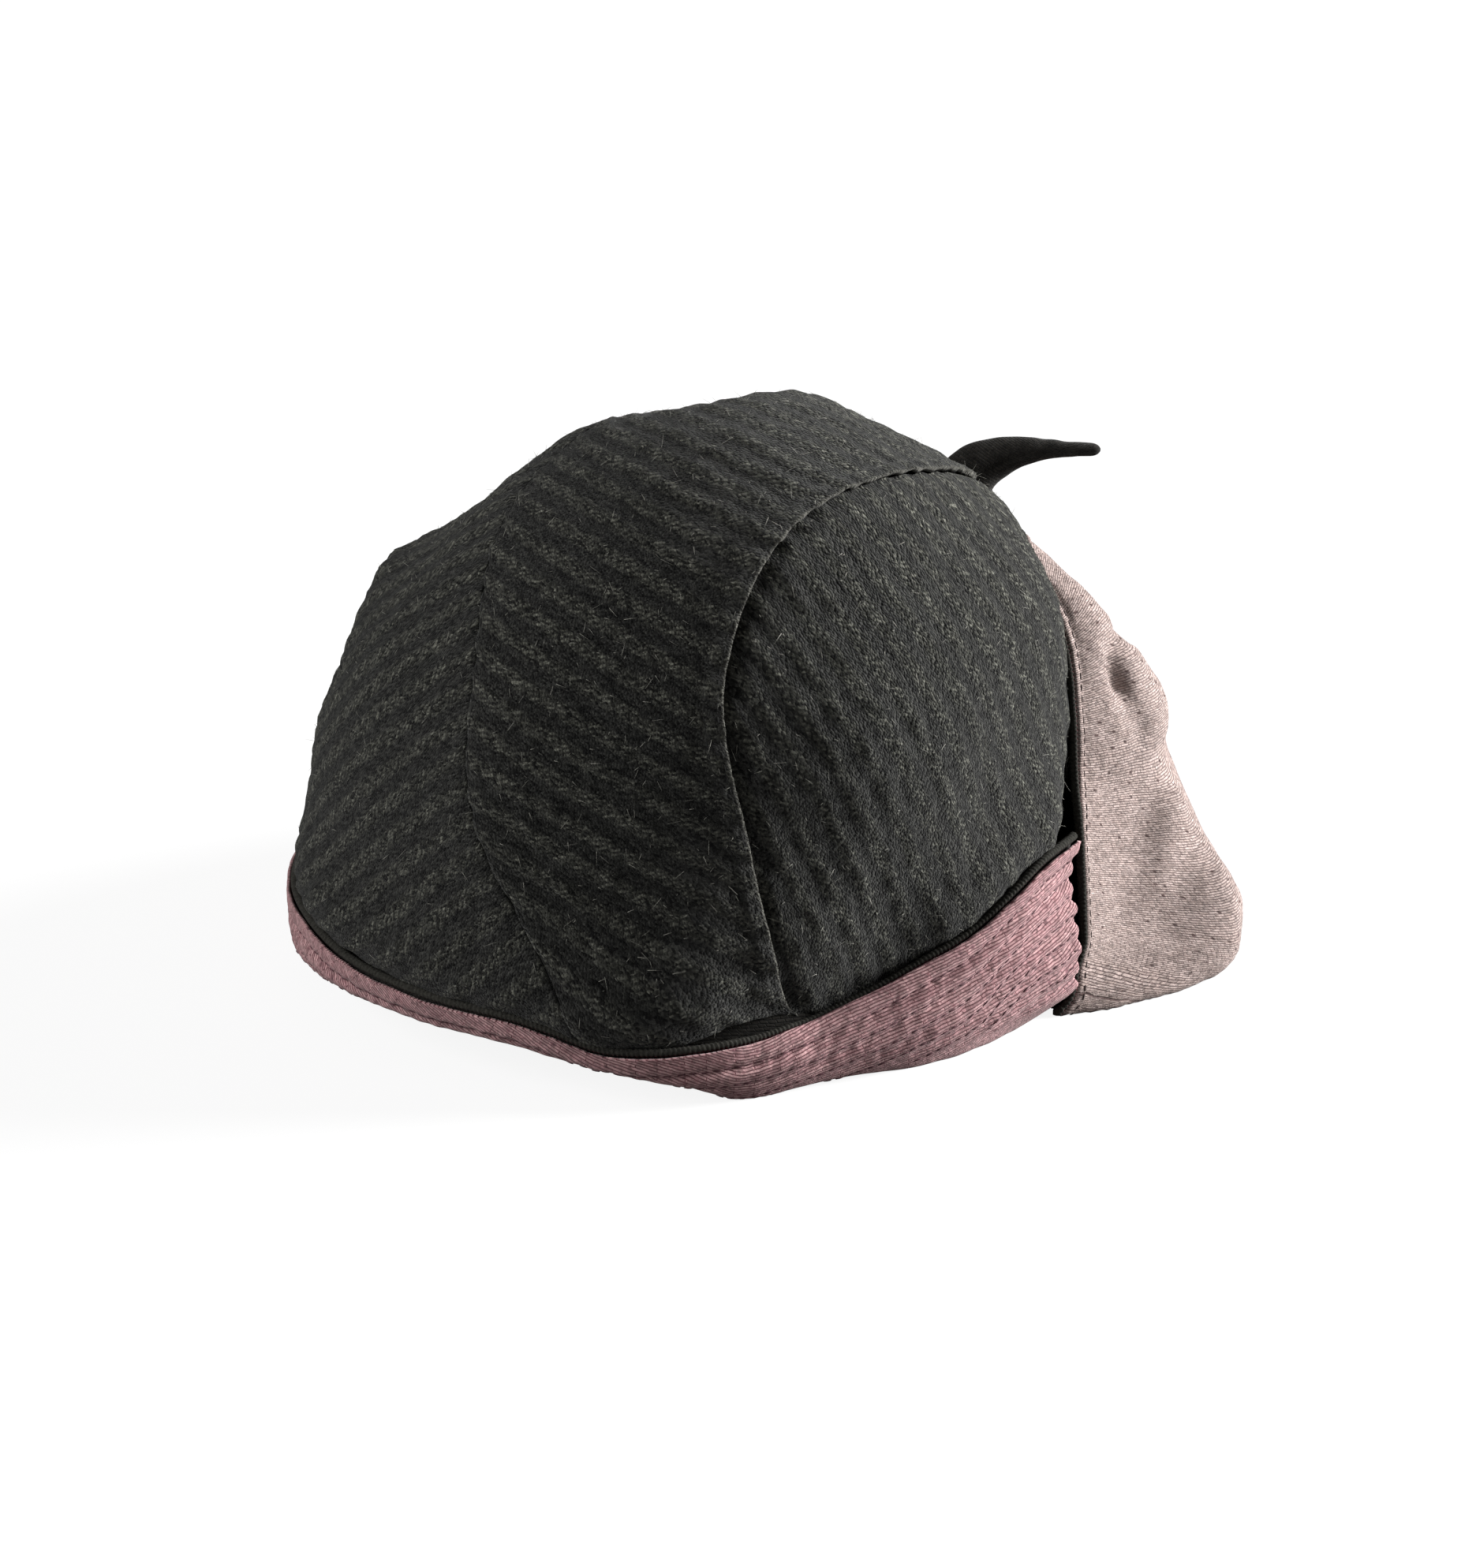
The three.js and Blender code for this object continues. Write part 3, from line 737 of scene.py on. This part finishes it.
# The line across a grid's rows at a distance from its first or last column
def beside_edge(points, outward, distance, from_last):
    away = lengths_along(points, 0)
    away = away[-1] - away if from_last else away
    line, up = [], []
    for row in range(points.shape[1]):
        order = slice(None, None, -1) if from_last else slice(None)
        reach = away[order, row]
        if reach[-1] > 2 * distance:
            line.append([np.interp(distance, reach, points[order, row, k]) for k in range(3)])
            up.append([np.interp(distance, reach, outward[order, row, k]) for k in range(3)])
    return np.array(line), np.array(up)


# Soft dents and corners of the worn crown: the angle and section at the middle, the rise and the width
CROWN_DENTS = [
    (220.5, 1.55, -2.6, 15),
    (222, 2.4, -2, 15),
    (222, 3.06, 2.8, 10),
    (221, 3.55, -2.4, 15),
    (210, 4.15, 1, 10),
    (207, 4.6, -2.4, 13),
    (184, 5.06, 1.8, 11),
    (52, 3.3, 2.6, 20),
    (54, 2.7, 2, 16),
    (150, 3.2, -1.2, 16),
    (168, 2.2, 1, 14),
    (140, 1.6, -1, 14),
    (96, 3, 0.9, 20),
    (92, 1.55, 2.4, 17),
    (118, 1.8, -3.6, 20),
    (66, 2.35, 2, 15),
    (268, 2.6, -2, 20),
    (300, 3.4, 1.4, 18),
    (255, 4.2, -1.6, 16),
]


def gore(name, node, first_seam, last_seam, turns, stripes, size):
    points, flat = gore_grid(first_seam, last_seam, turns, size)
    slant = math.radians(stripes)
    ways = ((-math.sin(slant), math.cos(slant)), (math.cos(slant), math.sin(slant)))
    cloth = np.stack([flat @ way for way in ways], -1)
    from_first = lengths_along(points, 0)
    from_last = from_first[-1] - from_first
    along = lengths_along(points, 1)
    height = 0.9 * swells(points, 34, 3.1) + 0.4 * swells(points, 13, 8.4)
    wobble = cloth + 1.2 * np.stack([swells(points, 9, 2.6), swells(points, 9, 7.6)], -1)
    rib = 0.5 - 0.5 * np.cos(2 * np.pi * wobble[..., 0] / STRIPE_PERIOD)
    crinkle = swells(np.concatenate([wobble / [2.6, 6.5], np.full(rib.shape + (1,), 4.2)], -1), 1, 0.5)
    height += RIB_HEIGHT * rib * (1 + swells(points, 5, 5.2)) + 0.3 * crinkle
    loose = smooth_step(*LOOSE_FROM, along)
    for angle, step, rise, width in CROWN_DENTS:
        miss = np.linalg.norm(points - crown_surface(angle, step), axis=-1)
        height += rise * np.exp(-((miss / width) ** 2)) * loose
    fuzz_and_highlight = None
    for away, seam in ((from_first, first_seam), (from_last, last_seam)):
        height += PUCKER * np.sin(2 * np.pi * along / 6.3 + 2 * swells(points, 9, 1.7)) * np.exp(-away / 4)
        if name == "gore_back_right" and seam == "right_back":
            fell = FELL_RISE * smooth_step(FELL_WIDTH + 1, FELL_WIDTH - 2, away)
            height += fell * smooth_step(*FELL_STARTS, points[..., 2])
            height -= 0.2 * np.exp(-(((away - FELL_WIDTH + 0.4) / 0.7) ** 2))
            # A thin pale line on the felled edge, partly pale fuzz and partly a painted highlight
            fuzz_and_highlight = 0.4 * np.exp(-((away / 0.4) ** 2))
        elif name == "gore_side_right" and seam == "right_back":
            height -= SEAM_VALLEY * np.exp(-((away / SEAM_VALLEY_WIDTH) ** 2)) * loose
        else:
            height -= SEAM_DIP * np.exp(-((away / SEAM_DIP_WIDTH) ** 2))
    points = points - into(points) * height[..., None]
    cloth_piece(name, node, points, cloth, CROWN_CLOTH, TWILL,
                fuzz_and_highlight)
    return points


# Brim and peak, each of a facing, a dark lining behind it and a rolled binding
QUILT_SPACING = 5.2
QUILT_ROWS = 7
QUILT_PUFF = 1.1
BRIM_LONG = 345
BRIM_WIDE = 46
BRIM_MESH = 0.75
BRIM_LINING_MESH = 1.6
PEAK_LONG = 300
PEAK_WIDE = 175
PEAK_MESH = 1.25
PEAK_LINING_MESH = 2.2
BRIM_BIAS = math.radians(11)
EDGE_ROW = 2.7
EDGE_ROLL = 0.45
EDGE_GROOVE = 0.4
SEWN_RISE = 4


# Rows of a surface spaced evenly along each of its columns
def even_grid(surface, angles, rows):
    fine = np.linspace(0, 1, FINE_STEPS)
    angle = angles[:, None]
    length = lengths_along(surface(*np.broadcast_arrays(angle, fine)), 1)
    share = np.stack([np.interp(np.linspace(0, row[-1], rows + 1), row, fine) for row in length])
    angle = np.broadcast_to(angle, share.shape)
    return surface(angle, share), angle, share


# How far the near end of the brim swells out at each height
BRIM_END_SWELL = ([0, 6, 14, 18, 24, 28, 34, 39, 44], [0.7, 3, 3.7, 3.3, 1.4, 0.7, -1.6, -1, 0])
BRIM_END_WIDTH = 16
BRIM_END_REACH = 5
BRIM_REACH_WIDTH = 9
BRIM_REACH_HEIGHTS = (13, 3)


# The brim as it is seen: leaning in to the crown, its ends reaching forward near the floor
def seen_brim(size):
    angles = np.linspace(BRIM_FROM, BRIM_TO, int(BRIM_LONG / size) + 1)
    points, angle, share = even_grid(brim_surface, angles, int(BRIM_WIDE / size))
    _, outward = beyond_headline(angle, points)
    fold, edge = (lookup(BRIM_STATIONS, "angle", name, angle) for name in ("fold_z", "edge_z"))
    upper = np.clip((points[..., 2] - fold) / (edge - fold), 0, 1) ** 2 * smooth_step(0.45, 0.6, share)
    stands = brim_swing(angle) * smooth_step(0.25, 0.45, share) - brim_lean(angle) * upper
    points = points + outward * stands[..., None]
    along = lengths_along(points, 0)
    from_end = np.minimum(along, along[-1] - along)
    reach = BRIM_END_REACH * np.exp(-((from_end / BRIM_REACH_WIDTH) ** 2))
    reach = reach * smooth_step(*BRIM_REACH_HEIGHTS, points[..., 2])
    reach = reach * np.sign(along - along[-1] / 2) * smooth_step(0.1, 0.25, share)
    points = points + unit(np.gradient(points, axis=0)) * reach[..., None]
    end = np.exp(-((along / BRIM_END_WIDTH) ** 2)) * smooth_step(0.3, 0.5, share)
    points = points + outward * (np.interp(points[..., 2], *BRIM_END_SWELL) * end)[..., None]
    points[..., 2] += brim_rise(angle) * upper + SEWN_RISE * smooth_step(0.14, 0, share)
    return points


def brim():
    outer = seen_brim(BRIM_MESH)
    to_edge = lengths_along(outer, 1)
    to_edge = to_edge[:, -1:] - to_edge
    along = lengths_along(outer, 0)
    flat = unrolled(outer.transpose(1, 0, 2)).transpose(1, 0, 2)[..., ::-1]
    cos, sin = math.cos(BRIM_BIAS), math.sin(BRIM_BIAS)
    turned = np.array([[cos, -sin], [sin, cos]])
    nearest = np.clip(np.rint(to_edge / QUILT_SPACING), 1, QUILT_ROWS) * QUILT_SPACING
    to_row = np.abs(to_edge - nearest)
    height = QUILT_PUFF * (1 - np.exp(-((to_row / 1.1) ** 2))) + 0.35 * swells(outer, 11, 2.2)
    height += 0.2 * np.sin(2 * np.pi * along / 5.8 + 3 * swells(outer, 8, 6.6)) * np.exp(-to_row / 1.8)
    height += 0.15 * swells(outer, 3.2, 1.3)
    height = np.maximum(height + 0.3, 0) * smooth_step(1, 9, outer[..., 2])
    facing = outer - into(outer) * height[..., None]
    scallop = 0.3 * np.sin(2 * np.pi * to_edge / QUILT_SPACING + 0.8) + 0.9 * swells(outer, 5, 7.7)
    ends = np.exp(-((along / 6) ** 2)) - np.exp(-(((along[-1:] - along) / 6) ** 2))
    facing += unit(np.gradient(outer, axis=0)) * (scallop * ends)[..., None]
    facing[..., 2] = np.maximum(facing[..., 2], 0)
    cloth_piece("brim_mauve", "brim_facing", facing, flat @ turned.T, FACING, MAUVE)
    inner = seen_brim(BRIM_LINING_MESH)
    lining = inner + into(inner) * (FACING + LAYER_GAP)
    lining[..., 2] = np.maximum(lining[..., 2], FACING + LAYER_GAP)
    flat = np.stack([lengths_along(lining, 0), lengths_along(lining, 1)], -1)
    cloth_piece("brim_lining", "brim_shell", lining, flat, LINING, CHARCOAL)
    binding("brim_rolled_edge", "brim_binding", *edge_line(outer, [("top", slice(None))]))
    outward = -into(facing)
    turned_up = facing.transpose(1, 0, 2)[::-1]
    rows = []
    for row in range(1, QUILT_ROWS + 1):
        line, up = beside_edge(turned_up, outward.transpose(1, 0, 2)[::-1], row * QUILT_SPACING, False)
        if len(line) > 20:
            rows.append(stitch_places(line, up, *QUILT_STITCHES))
    scattered("brim_quilting", STITCH_BEAD, np.concatenate(rows), WINE_THREAD)


# Soft folds of the peak: a line of angles and shares on it, the height at its middle and its width
PEAK_FOLDS = [
    ([(48, 0.885), (53, 0.893), (57, 0.896), (60, 0.888), (61.2, 0.868), (60.8, 0.842)], -2.4, 3.6),
    ([(60.8, 0.842), (60.3, 0.81), (58.5, 0.77)], -1.4, 4.5),
    ([(53, 0.82), (53, 0.79), (53, 0.75)], -1.1, 9),
    ([(45, 0.7), (51, 0.7), (55, 0.68), (58.2, 0.655), (62.5, 0.61)], -1.1, 6.5),
    ([(53, 0.66), (57, 0.63), (61, 0.58)], 1.6, 7),
    ([(40, 0.45), (46, 0.5), (50, 0.56)], 1.2, 8),
    ([(20, 0.5), (22, 0.65), (18, 0.8)], -1.6, 10),
    ([(-15, 0.45), (-20, 0.6), (-16, 0.75)], 1.6, 12),
    ([(-52, 0.7), (-57, 0.65), (-61, 0.6)], -1.6, 7),
    ([(-57, 0.9), (-58, 0.83)], -2.2, 6),
]
PEAK_TUCK = ([0, 4, 9, 13, 18, 50, 75, 86, 98, 104, 110], [0, 0, 0, 0.3, 0.5, 0, 0, 1.4, 3.4, 5, 8])
TUCK_WIDTH = 15
PEAK_FULLER = 8
PEAK_CORNER_RISE = 3
PEAK_HOLLOW = ([0, 8, 20, 38, 60, 78, 94, 112], [1.5, 6, 14, 14, 4, 1, -5, -12])
PEAK_HOLLOW_FROM_END = 25
PEAK_HOLLOW_WAY = np.array([0.624, -0.708, -0.328])
LINING_SHORTER = 3
PEAK_END_CURL = ([0, 2, 7, 13, 18], [7.5, 6.2, 4, 1.5, 0])
PEAK_CURL_WIDTH = 11


# The peak as it is seen: its side edges tucked in near the top, its near side hollowed, with soft folds
def seen_peak(size, shorter=0):
    angles = np.linspace(-PEAK_END, PEAK_END, int(PEAK_LONG / size) + 1)
    points, angle, share = even_grid(peak_surface, angles, int(PEAK_WIDE / size))
    along = lengths_along(points, 0)
    from_end = np.minimum(along, along[-1] - along)
    tuck = np.interp(points[..., 2], *PEAK_TUCK) * np.exp(-((from_end / TUCK_WIDTH) ** 2))
    height = 0.9 * swells(points, 24, 4.4) + 0.3 * swells(points, 8, 9.1) - tuck
    for path, rise, width in PEAK_FOLDS:
        spots = np.array(path)
        fine = np.linspace(0, len(spots) - 1, 6 * len(spots))
        order = np.arange(len(spots))
        line = peak_surface(np.interp(fine, order, spots[:, 0]), np.interp(fine, order, spots[:, 1]))
        miss = np.min([np.linalg.norm(points - place, axis=-1) for place in line], axis=0)
        height += rise * np.exp(-((miss / width) ** 2))
    points = points - into(points) * height[..., None]
    near = smooth_step(79, 66, angle) * smooth_step(43, 58, angle) * smooth_step(0.12, 0.22, share)
    fuller = (PEAK_FULLER - shorter) * near * np.exp(-((np.maximum(points[..., 2], 0) / 7) ** 2))
    points = points + beyond_headline(angle, points)[1] * fuller[..., None]
    curl = np.interp(points[..., 2], *PEAK_END_CURL) * smooth_step(0.12, 0.3, share)
    curl = curl * (1 - shorter / 8) * np.sign(angle) * np.exp(-((from_end / PEAK_CURL_WIDTH) ** 2))
    points = points + unit(np.gradient(points, axis=0)) * curl[..., None]
    to_end = (along[-1] - along) / PEAK_HOLLOW_FROM_END
    hollow = np.interp(points[..., 2], *PEAK_HOLLOW) * to_end * np.exp(1 - to_end)
    hollow = hollow * smooth_step(0, 0.3, share) * smooth_step(20, 40, angle)
    points = points + PEAK_HOLLOW_WAY * hollow[..., None]
    points[..., 2] += PEAK_CORNER_RISE * smooth_step(36, 58, angle) * smooth_step(0.82, 1, share)
    points[..., 2] = np.maximum(points[..., 2], 0) + SEWN_RISE * smooth_step(0.06, 0, share)
    return points


def peak():
    outer = seen_peak(PEAK_MESH)
    flat = unrolled(outer)
    along = lengths_along(outer, 0)
    up = lengths_along(outer, 1)
    to_edge = np.minimum(np.minimum(along, along[-1] - along), up[:, -1:] - up)
    height = EDGE_ROLL * np.exp(-(((to_edge - 1) / 0.9) ** 2))
    height -= EDGE_GROOVE * np.exp(-(((to_edge - EDGE_ROW) / 0.8) ** 2))
    height += 0.2 * swells(outer, 3.4, 3.3)
    facing = outer - into(outer) * height[..., None]
    facing[..., 2] = np.maximum(facing[..., 2], 0)
    cloth_piece("peak_taupe", "peak_facing", facing, flat, FACING, TAUPE)
    inner = seen_peak(PEAK_LINING_MESH, LINING_SHORTER)
    lining = inner + into(inner) * (FACING + LAYER_GAP)
    lining[..., 2] = np.maximum(lining[..., 2], FACING + LAYER_GAP)
    flat = np.stack([lengths_along(lining, 0), lengths_along(lining, 1)], -1)
    cloth_piece("peak_lining", "peak_shell", lining, flat, LINING, CHARCOAL)
    bound = slice(int(PEAK_ROLLED_FROM * outer.shape[1]), None)
    runs = [("last", bound), ("top", None), ("first", bound)]
    binding("peak_rolled_edge", "peak_binding", *edge_line(outer, runs))
    outward = -into(facing)
    rows = []
    for from_last in (True, False):
        line, lift = beside_edge(facing[:, bound], outward[:, bound], EDGE_ROW, from_last)
        rows.append(stitch_places(line, lift, *EDGE_STITCHES))
    scattered("peak_edge_stitching", STITCH_BEAD, np.concatenate(rows), TAUPE_THREAD)


# A roll of cloth: rings of points along a line, closed into a tube
def roll_piece(name, node, rings, material):
    flat = np.stack([lengths_along(rings, 1), lengths_along(rings, 0)], -1)
    mesh = grid_mesh(name, rings, flat)
    form = bmesh.new()
    form.from_mesh(mesh)
    bmesh.ops.remove_doubles(form, verts=form.verts, dist=1e-6)
    bmesh.ops.holes_fill(form, edges=[edge for edge in form.edges if edge.is_boundary], sides=0)
    bmesh.ops.recalc_face_normals(form, faces=form.faces)
    form.to_mesh(mesh)
    form.free()
    return place_piece(name, mesh, material, node)


def tube_rings(centres, axis_a, axis_b, sides, swell=0):
    turn = np.linspace(0, 2 * np.pi, sides + 1)[None, :, None]
    size = 1 + np.asarray(swell)[..., None]
    return centres[:, None] + size * (axis_a[:, None] * np.cos(turn) + axis_b[:, None] * np.sin(turn))


BINDING_SIDES = 10
BINDING_STEP = 0.28
TWIST_PITCH = 1.15


# The line just beyond the edges of a grid's layers, with the directions across them and out from them
def edge_line(outer, runs):
    across = into(outer)
    sides = unit(np.gradient(outer, axis=0))
    ups = unit(np.gradient(outer, axis=1))
    parts = []
    for run, rows in runs:
        if run == "top":
            order = slice(None, None, -1) if len(runs) > 1 else slice(None)
            parts.append((outer[order, -1], across[order, -1], ups[order, -1]))
        elif run == "last":
            parts.append((outer[-1, rows], across[-1, rows], sides[-1, rows]))
        else:
            parts.append((outer[0, rows][::-1], across[0, rows][::-1], -sides[0, rows][::-1]))
    line, across, outward = (np.concatenate(pieces) for pieces in zip(*parts))
    outward = unit(outward - across * (outward * across).sum(-1, keepdims=True))
    return line + across * (FACING + LAYER_GAP / 2) + outward * BINDING_ALONG * 0.8, across, outward


def binding(name, node, centre, across, outward):
    length = lengths_along(centre, 0)
    at = np.linspace(0, length[-1], int(length[-1] / BINDING_STEP))
    centre, across, outward = (np.stack([np.interp(at, length, axis) for axis in part.T], -1)
                               for part in (centre, across, outward))
    turn = np.linspace(0, 2 * np.pi, BINDING_SIDES + 1)
    twist = 0.1 * np.sin(2 * np.pi * at[:, None] / TWIST_PITCH + turn)
    axes = (unit(across) * BINDING_ACROSS, unit(outward) * BINDING_ALONG)
    rings = tube_rings(centre, *axes, BINDING_SIDES, twist)
    rings[..., 2] = np.maximum(rings[..., 2], SEWN_GAP)
    return roll_piece(name, node, rings, EDGING)


# The stalk: a folded band of cloth, with the line of its fold along the side
STALK_SIDES = 48
STALK_ROWS = 110
FOLD_TURN = 4.55
FOLD_DEPTH = 0.14


def stalk():
    tip = crown_surface(0, CROWN_SECTIONS["step"][-1])
    rows = STALK_RINGS
    centres = tip + rows["right"][:, None] * STALK_HEADING + rows["away"][:, None] * STALK_DEPTH
    centres[:, 2] += rows["up"]
    sizes = np.stack([rows["width"], rows["thick"]], -1)
    share = np.linspace(0, 1, STALK_ROWS)
    whole = through(np.repeat(np.concatenate([centres, sizes], -1)[:, None], STALK_ROWS, 1), share)
    line, width, thick = whole[:, :3], whole[:, 3:4], whole[:, 4:5]
    ahead = unit(np.gradient(line, axis=0))
    breadth = unit(np.cross(ahead, STALK_DEPTH))
    depth = np.cross(breadth, ahead)
    turn = np.linspace(0, 2 * np.pi, STALK_SIDES + 1)
    fold = -FOLD_DEPTH * np.exp(-(((turn - FOLD_TURN) / 0.16) ** 2)) * np.ones((STALK_ROWS, 1))
    rings = tube_rings(line, breadth * width, depth * thick, STALK_SIDES, fold)
    rings += 0.25 * swells(rings, 4, 2.5)[..., None] * unit(rings - line[:, None])
    roll_piece("stalk_cloth", "stalk", rings, CHARCOAL)


# Stitching of the crown: a double row on the felled seam, and small stitches in the other grooves
def crown_stitching(gores):
    rows = []
    back_right = gores["gore_back_right"]
    for distance in (1.5, FELL_WIDTH - 0.4):
        line, up = beside_edge(back_right, -into(back_right), distance, False)
        rows.append(stitch_places(line, up, *FELL_STITCHES))
    for name in ("gore_back_right", "gore_back_left", "gore_side_left", "gore_front"):
        points = gores[name]
        line, up = beside_edge(points, -into(points), 0.9, True)
        rows.append(stitch_places(line, up, *GROOVE_STITCHES))
    scattered("crown_stitching", STITCH_BEAD, np.concatenate(rows), DARK_THREAD)


# Pale fibres of lint and nap lying on the crown: thin closed spikes
LINT = bpy.data.meshes.new("lint_spike")
spike = bmesh.new()
bmesh.ops.create_cone(spike, cap_ends=True, segments=3, radius1=1, radius2=0.3, depth=1)
spike.to_mesh(LINT)
spike.free()
LINT_COUNTS = [("gore_back_right", 500), ("gore_back_left", 400), ("gore_side_right", 600),
               ("gore_side_left", 300), ("gore_front", 200)]
LINT_LENGTHS = (0.9, 1.2, 1.6, 2.2, 3.4)
LINT_THICK = 0.06


def lint(gores):
    places = []
    for name, count in LINT_COUNTS:
        points = gores[name]
        outward = -into(points)
        for _ in range(count):
            i = random.randrange(2, points.shape[0] - 2)
            j = random.randrange(2, points.shape[1] - 8)
            up = outward[i, j]
            ahead = unit(np.array([random.gauss(0, 1) for _ in range(3)]))
            ahead = unit(ahead - up * (ahead @ up) + up * random.uniform(0.05, 0.5))
            side = unit(np.cross(ahead, up))
            long = random.choice(LINT_LENGTHS)
            place = np.eye(4)
            place[:3, 0] = side * LINT_THICK
            place[:3, 1] = np.cross(ahead, side) * LINT_THICK
            place[:3, 2] = ahead * long
            place[:3, 3] = points[i, j] + ahead * long * 0.45 + up * 0.05
            places.append(place)
    scattered("lint_fibres", LINT, np.array(places), PALE_THREAD)


gores = {row[0]: gore(*row) for row in GORES}
brim()
peak()
stalk()
crown_stitching(gores)
lint(gores)

# Floor, light and camera
VIEW_AZIMUTH = 221.4
VIEW_ELEVATION = 19.17
VIEW_ROLL = 1.7
VIEW_DISTANCE = 975
VIEW_AIM = np.array([-8.7, 11.2, 49.2])
VIEW_LENS = 85
SENSOR = 36
FLOOR_SIZE = 60000
FLOOR_WHITE = 0.16
FLOOR_GLOW = 0.88
FLOOR_BOUNCE = 0.2
FILL = 0.116
LAMPS = [("key", 107, 18, 8.7, 24), ("left_edge", -74, 25, 2.5, 40)]


def direction(azimuth, elevation):
    a, e = math.radians(azimuth), math.radians(elevation)
    return Vector((math.sin(a) * math.cos(e), -math.cos(a) * math.cos(e), math.sin(e)))


def stage():
    material, tree, shader = blank_material("matt_white_light_table")
    seen = add(tree, "LightPath", {}).outputs["Is Camera Ray"]
    white = add(tree, "MapRange", {"Value": seen, "To Min": FLOOR_BOUNCE, "To Max": FLOOR_WHITE}).outputs[0]
    glow = add(tree, "MapRange", {"Value": seen, "To Min": 0, "To Max": FLOOR_GLOW}).outputs[0]
    tree.links.new(white, shader.inputs["Base Color"])
    tree.links.new(glow, shader.inputs["Emission Strength"])
    shader.inputs["Emission Color"].default_value = (1, 1, 1, 1)
    shader.inputs["Roughness"].default_value = 0.95
    shader.inputs["Specular IOR Level"].default_value = 0
    form = bmesh.new()
    bmesh.ops.create_grid(form, x_segments=1, y_segments=1, size=FLOOR_SIZE / 2 * MM)
    mesh = bpy.data.meshes.new("floor")
    form.to_mesh(mesh)
    form.free()
    mesh.materials.append(material)
    floor = bpy.data.objects.new("floor", mesh)
    bpy.context.scene.collection.objects.link(floor)


# A white studio: the backdrop is seen white, and gives only a weak light from all round
def studio():
    world = bpy.data.worlds.new("studio")
    bpy.context.scene.world = world
    world.use_nodes = True
    tree = world.node_tree
    seen = add(tree, "LightPath", {}).outputs["Is Camera Ray"]
    bright = add(tree, "MapRange", {"Value": seen, "To Min": FILL, "To Max": 1}).outputs[0]
    tree.links.new(bright, tree.nodes["Background"].inputs["Strength"])
    tree.nodes["Background"].inputs["Color"].default_value = (1, 1, 1, 1)
    for name, azimuth, elevation, strength, spread in LAMPS:
        lamp = bpy.data.lights.new(name, "SUN")
        lamp.energy = strength
        lamp.angle = math.radians(spread)
        shining = bpy.data.objects.new(name, lamp)
        shining.rotation_mode = "QUATERNION"
        shining.rotation_quaternion = direction(VIEW_AZIMUTH + azimuth, elevation).to_track_quat("Z", "Y")
        bpy.context.scene.collection.objects.link(shining)
    bpy.context.scene.view_settings.view_transform = "Standard"


def camera():
    data = bpy.data.cameras.new("photo_view")
    data.lens = VIEW_LENS
    data.sensor_width = SENSOR
    back = direction(VIEW_AZIMUTH, VIEW_ELEVATION)
    turn = back.to_track_quat("Z", "Y").to_matrix().to_4x4()
    turn = turn @ Matrix.Rotation(math.radians(VIEW_ROLL), 4, "Z")
    eye = bpy.data.objects.new("photo_view", data)
    eye.matrix_world = Matrix.Translation(Vector(VIEW_AIM * MM) + back * VIEW_DISTANCE * MM) @ turn
    bpy.context.scene.collection.objects.link(eye)
    bpy.context.scene.camera = eye


stage()
studio()
camera()
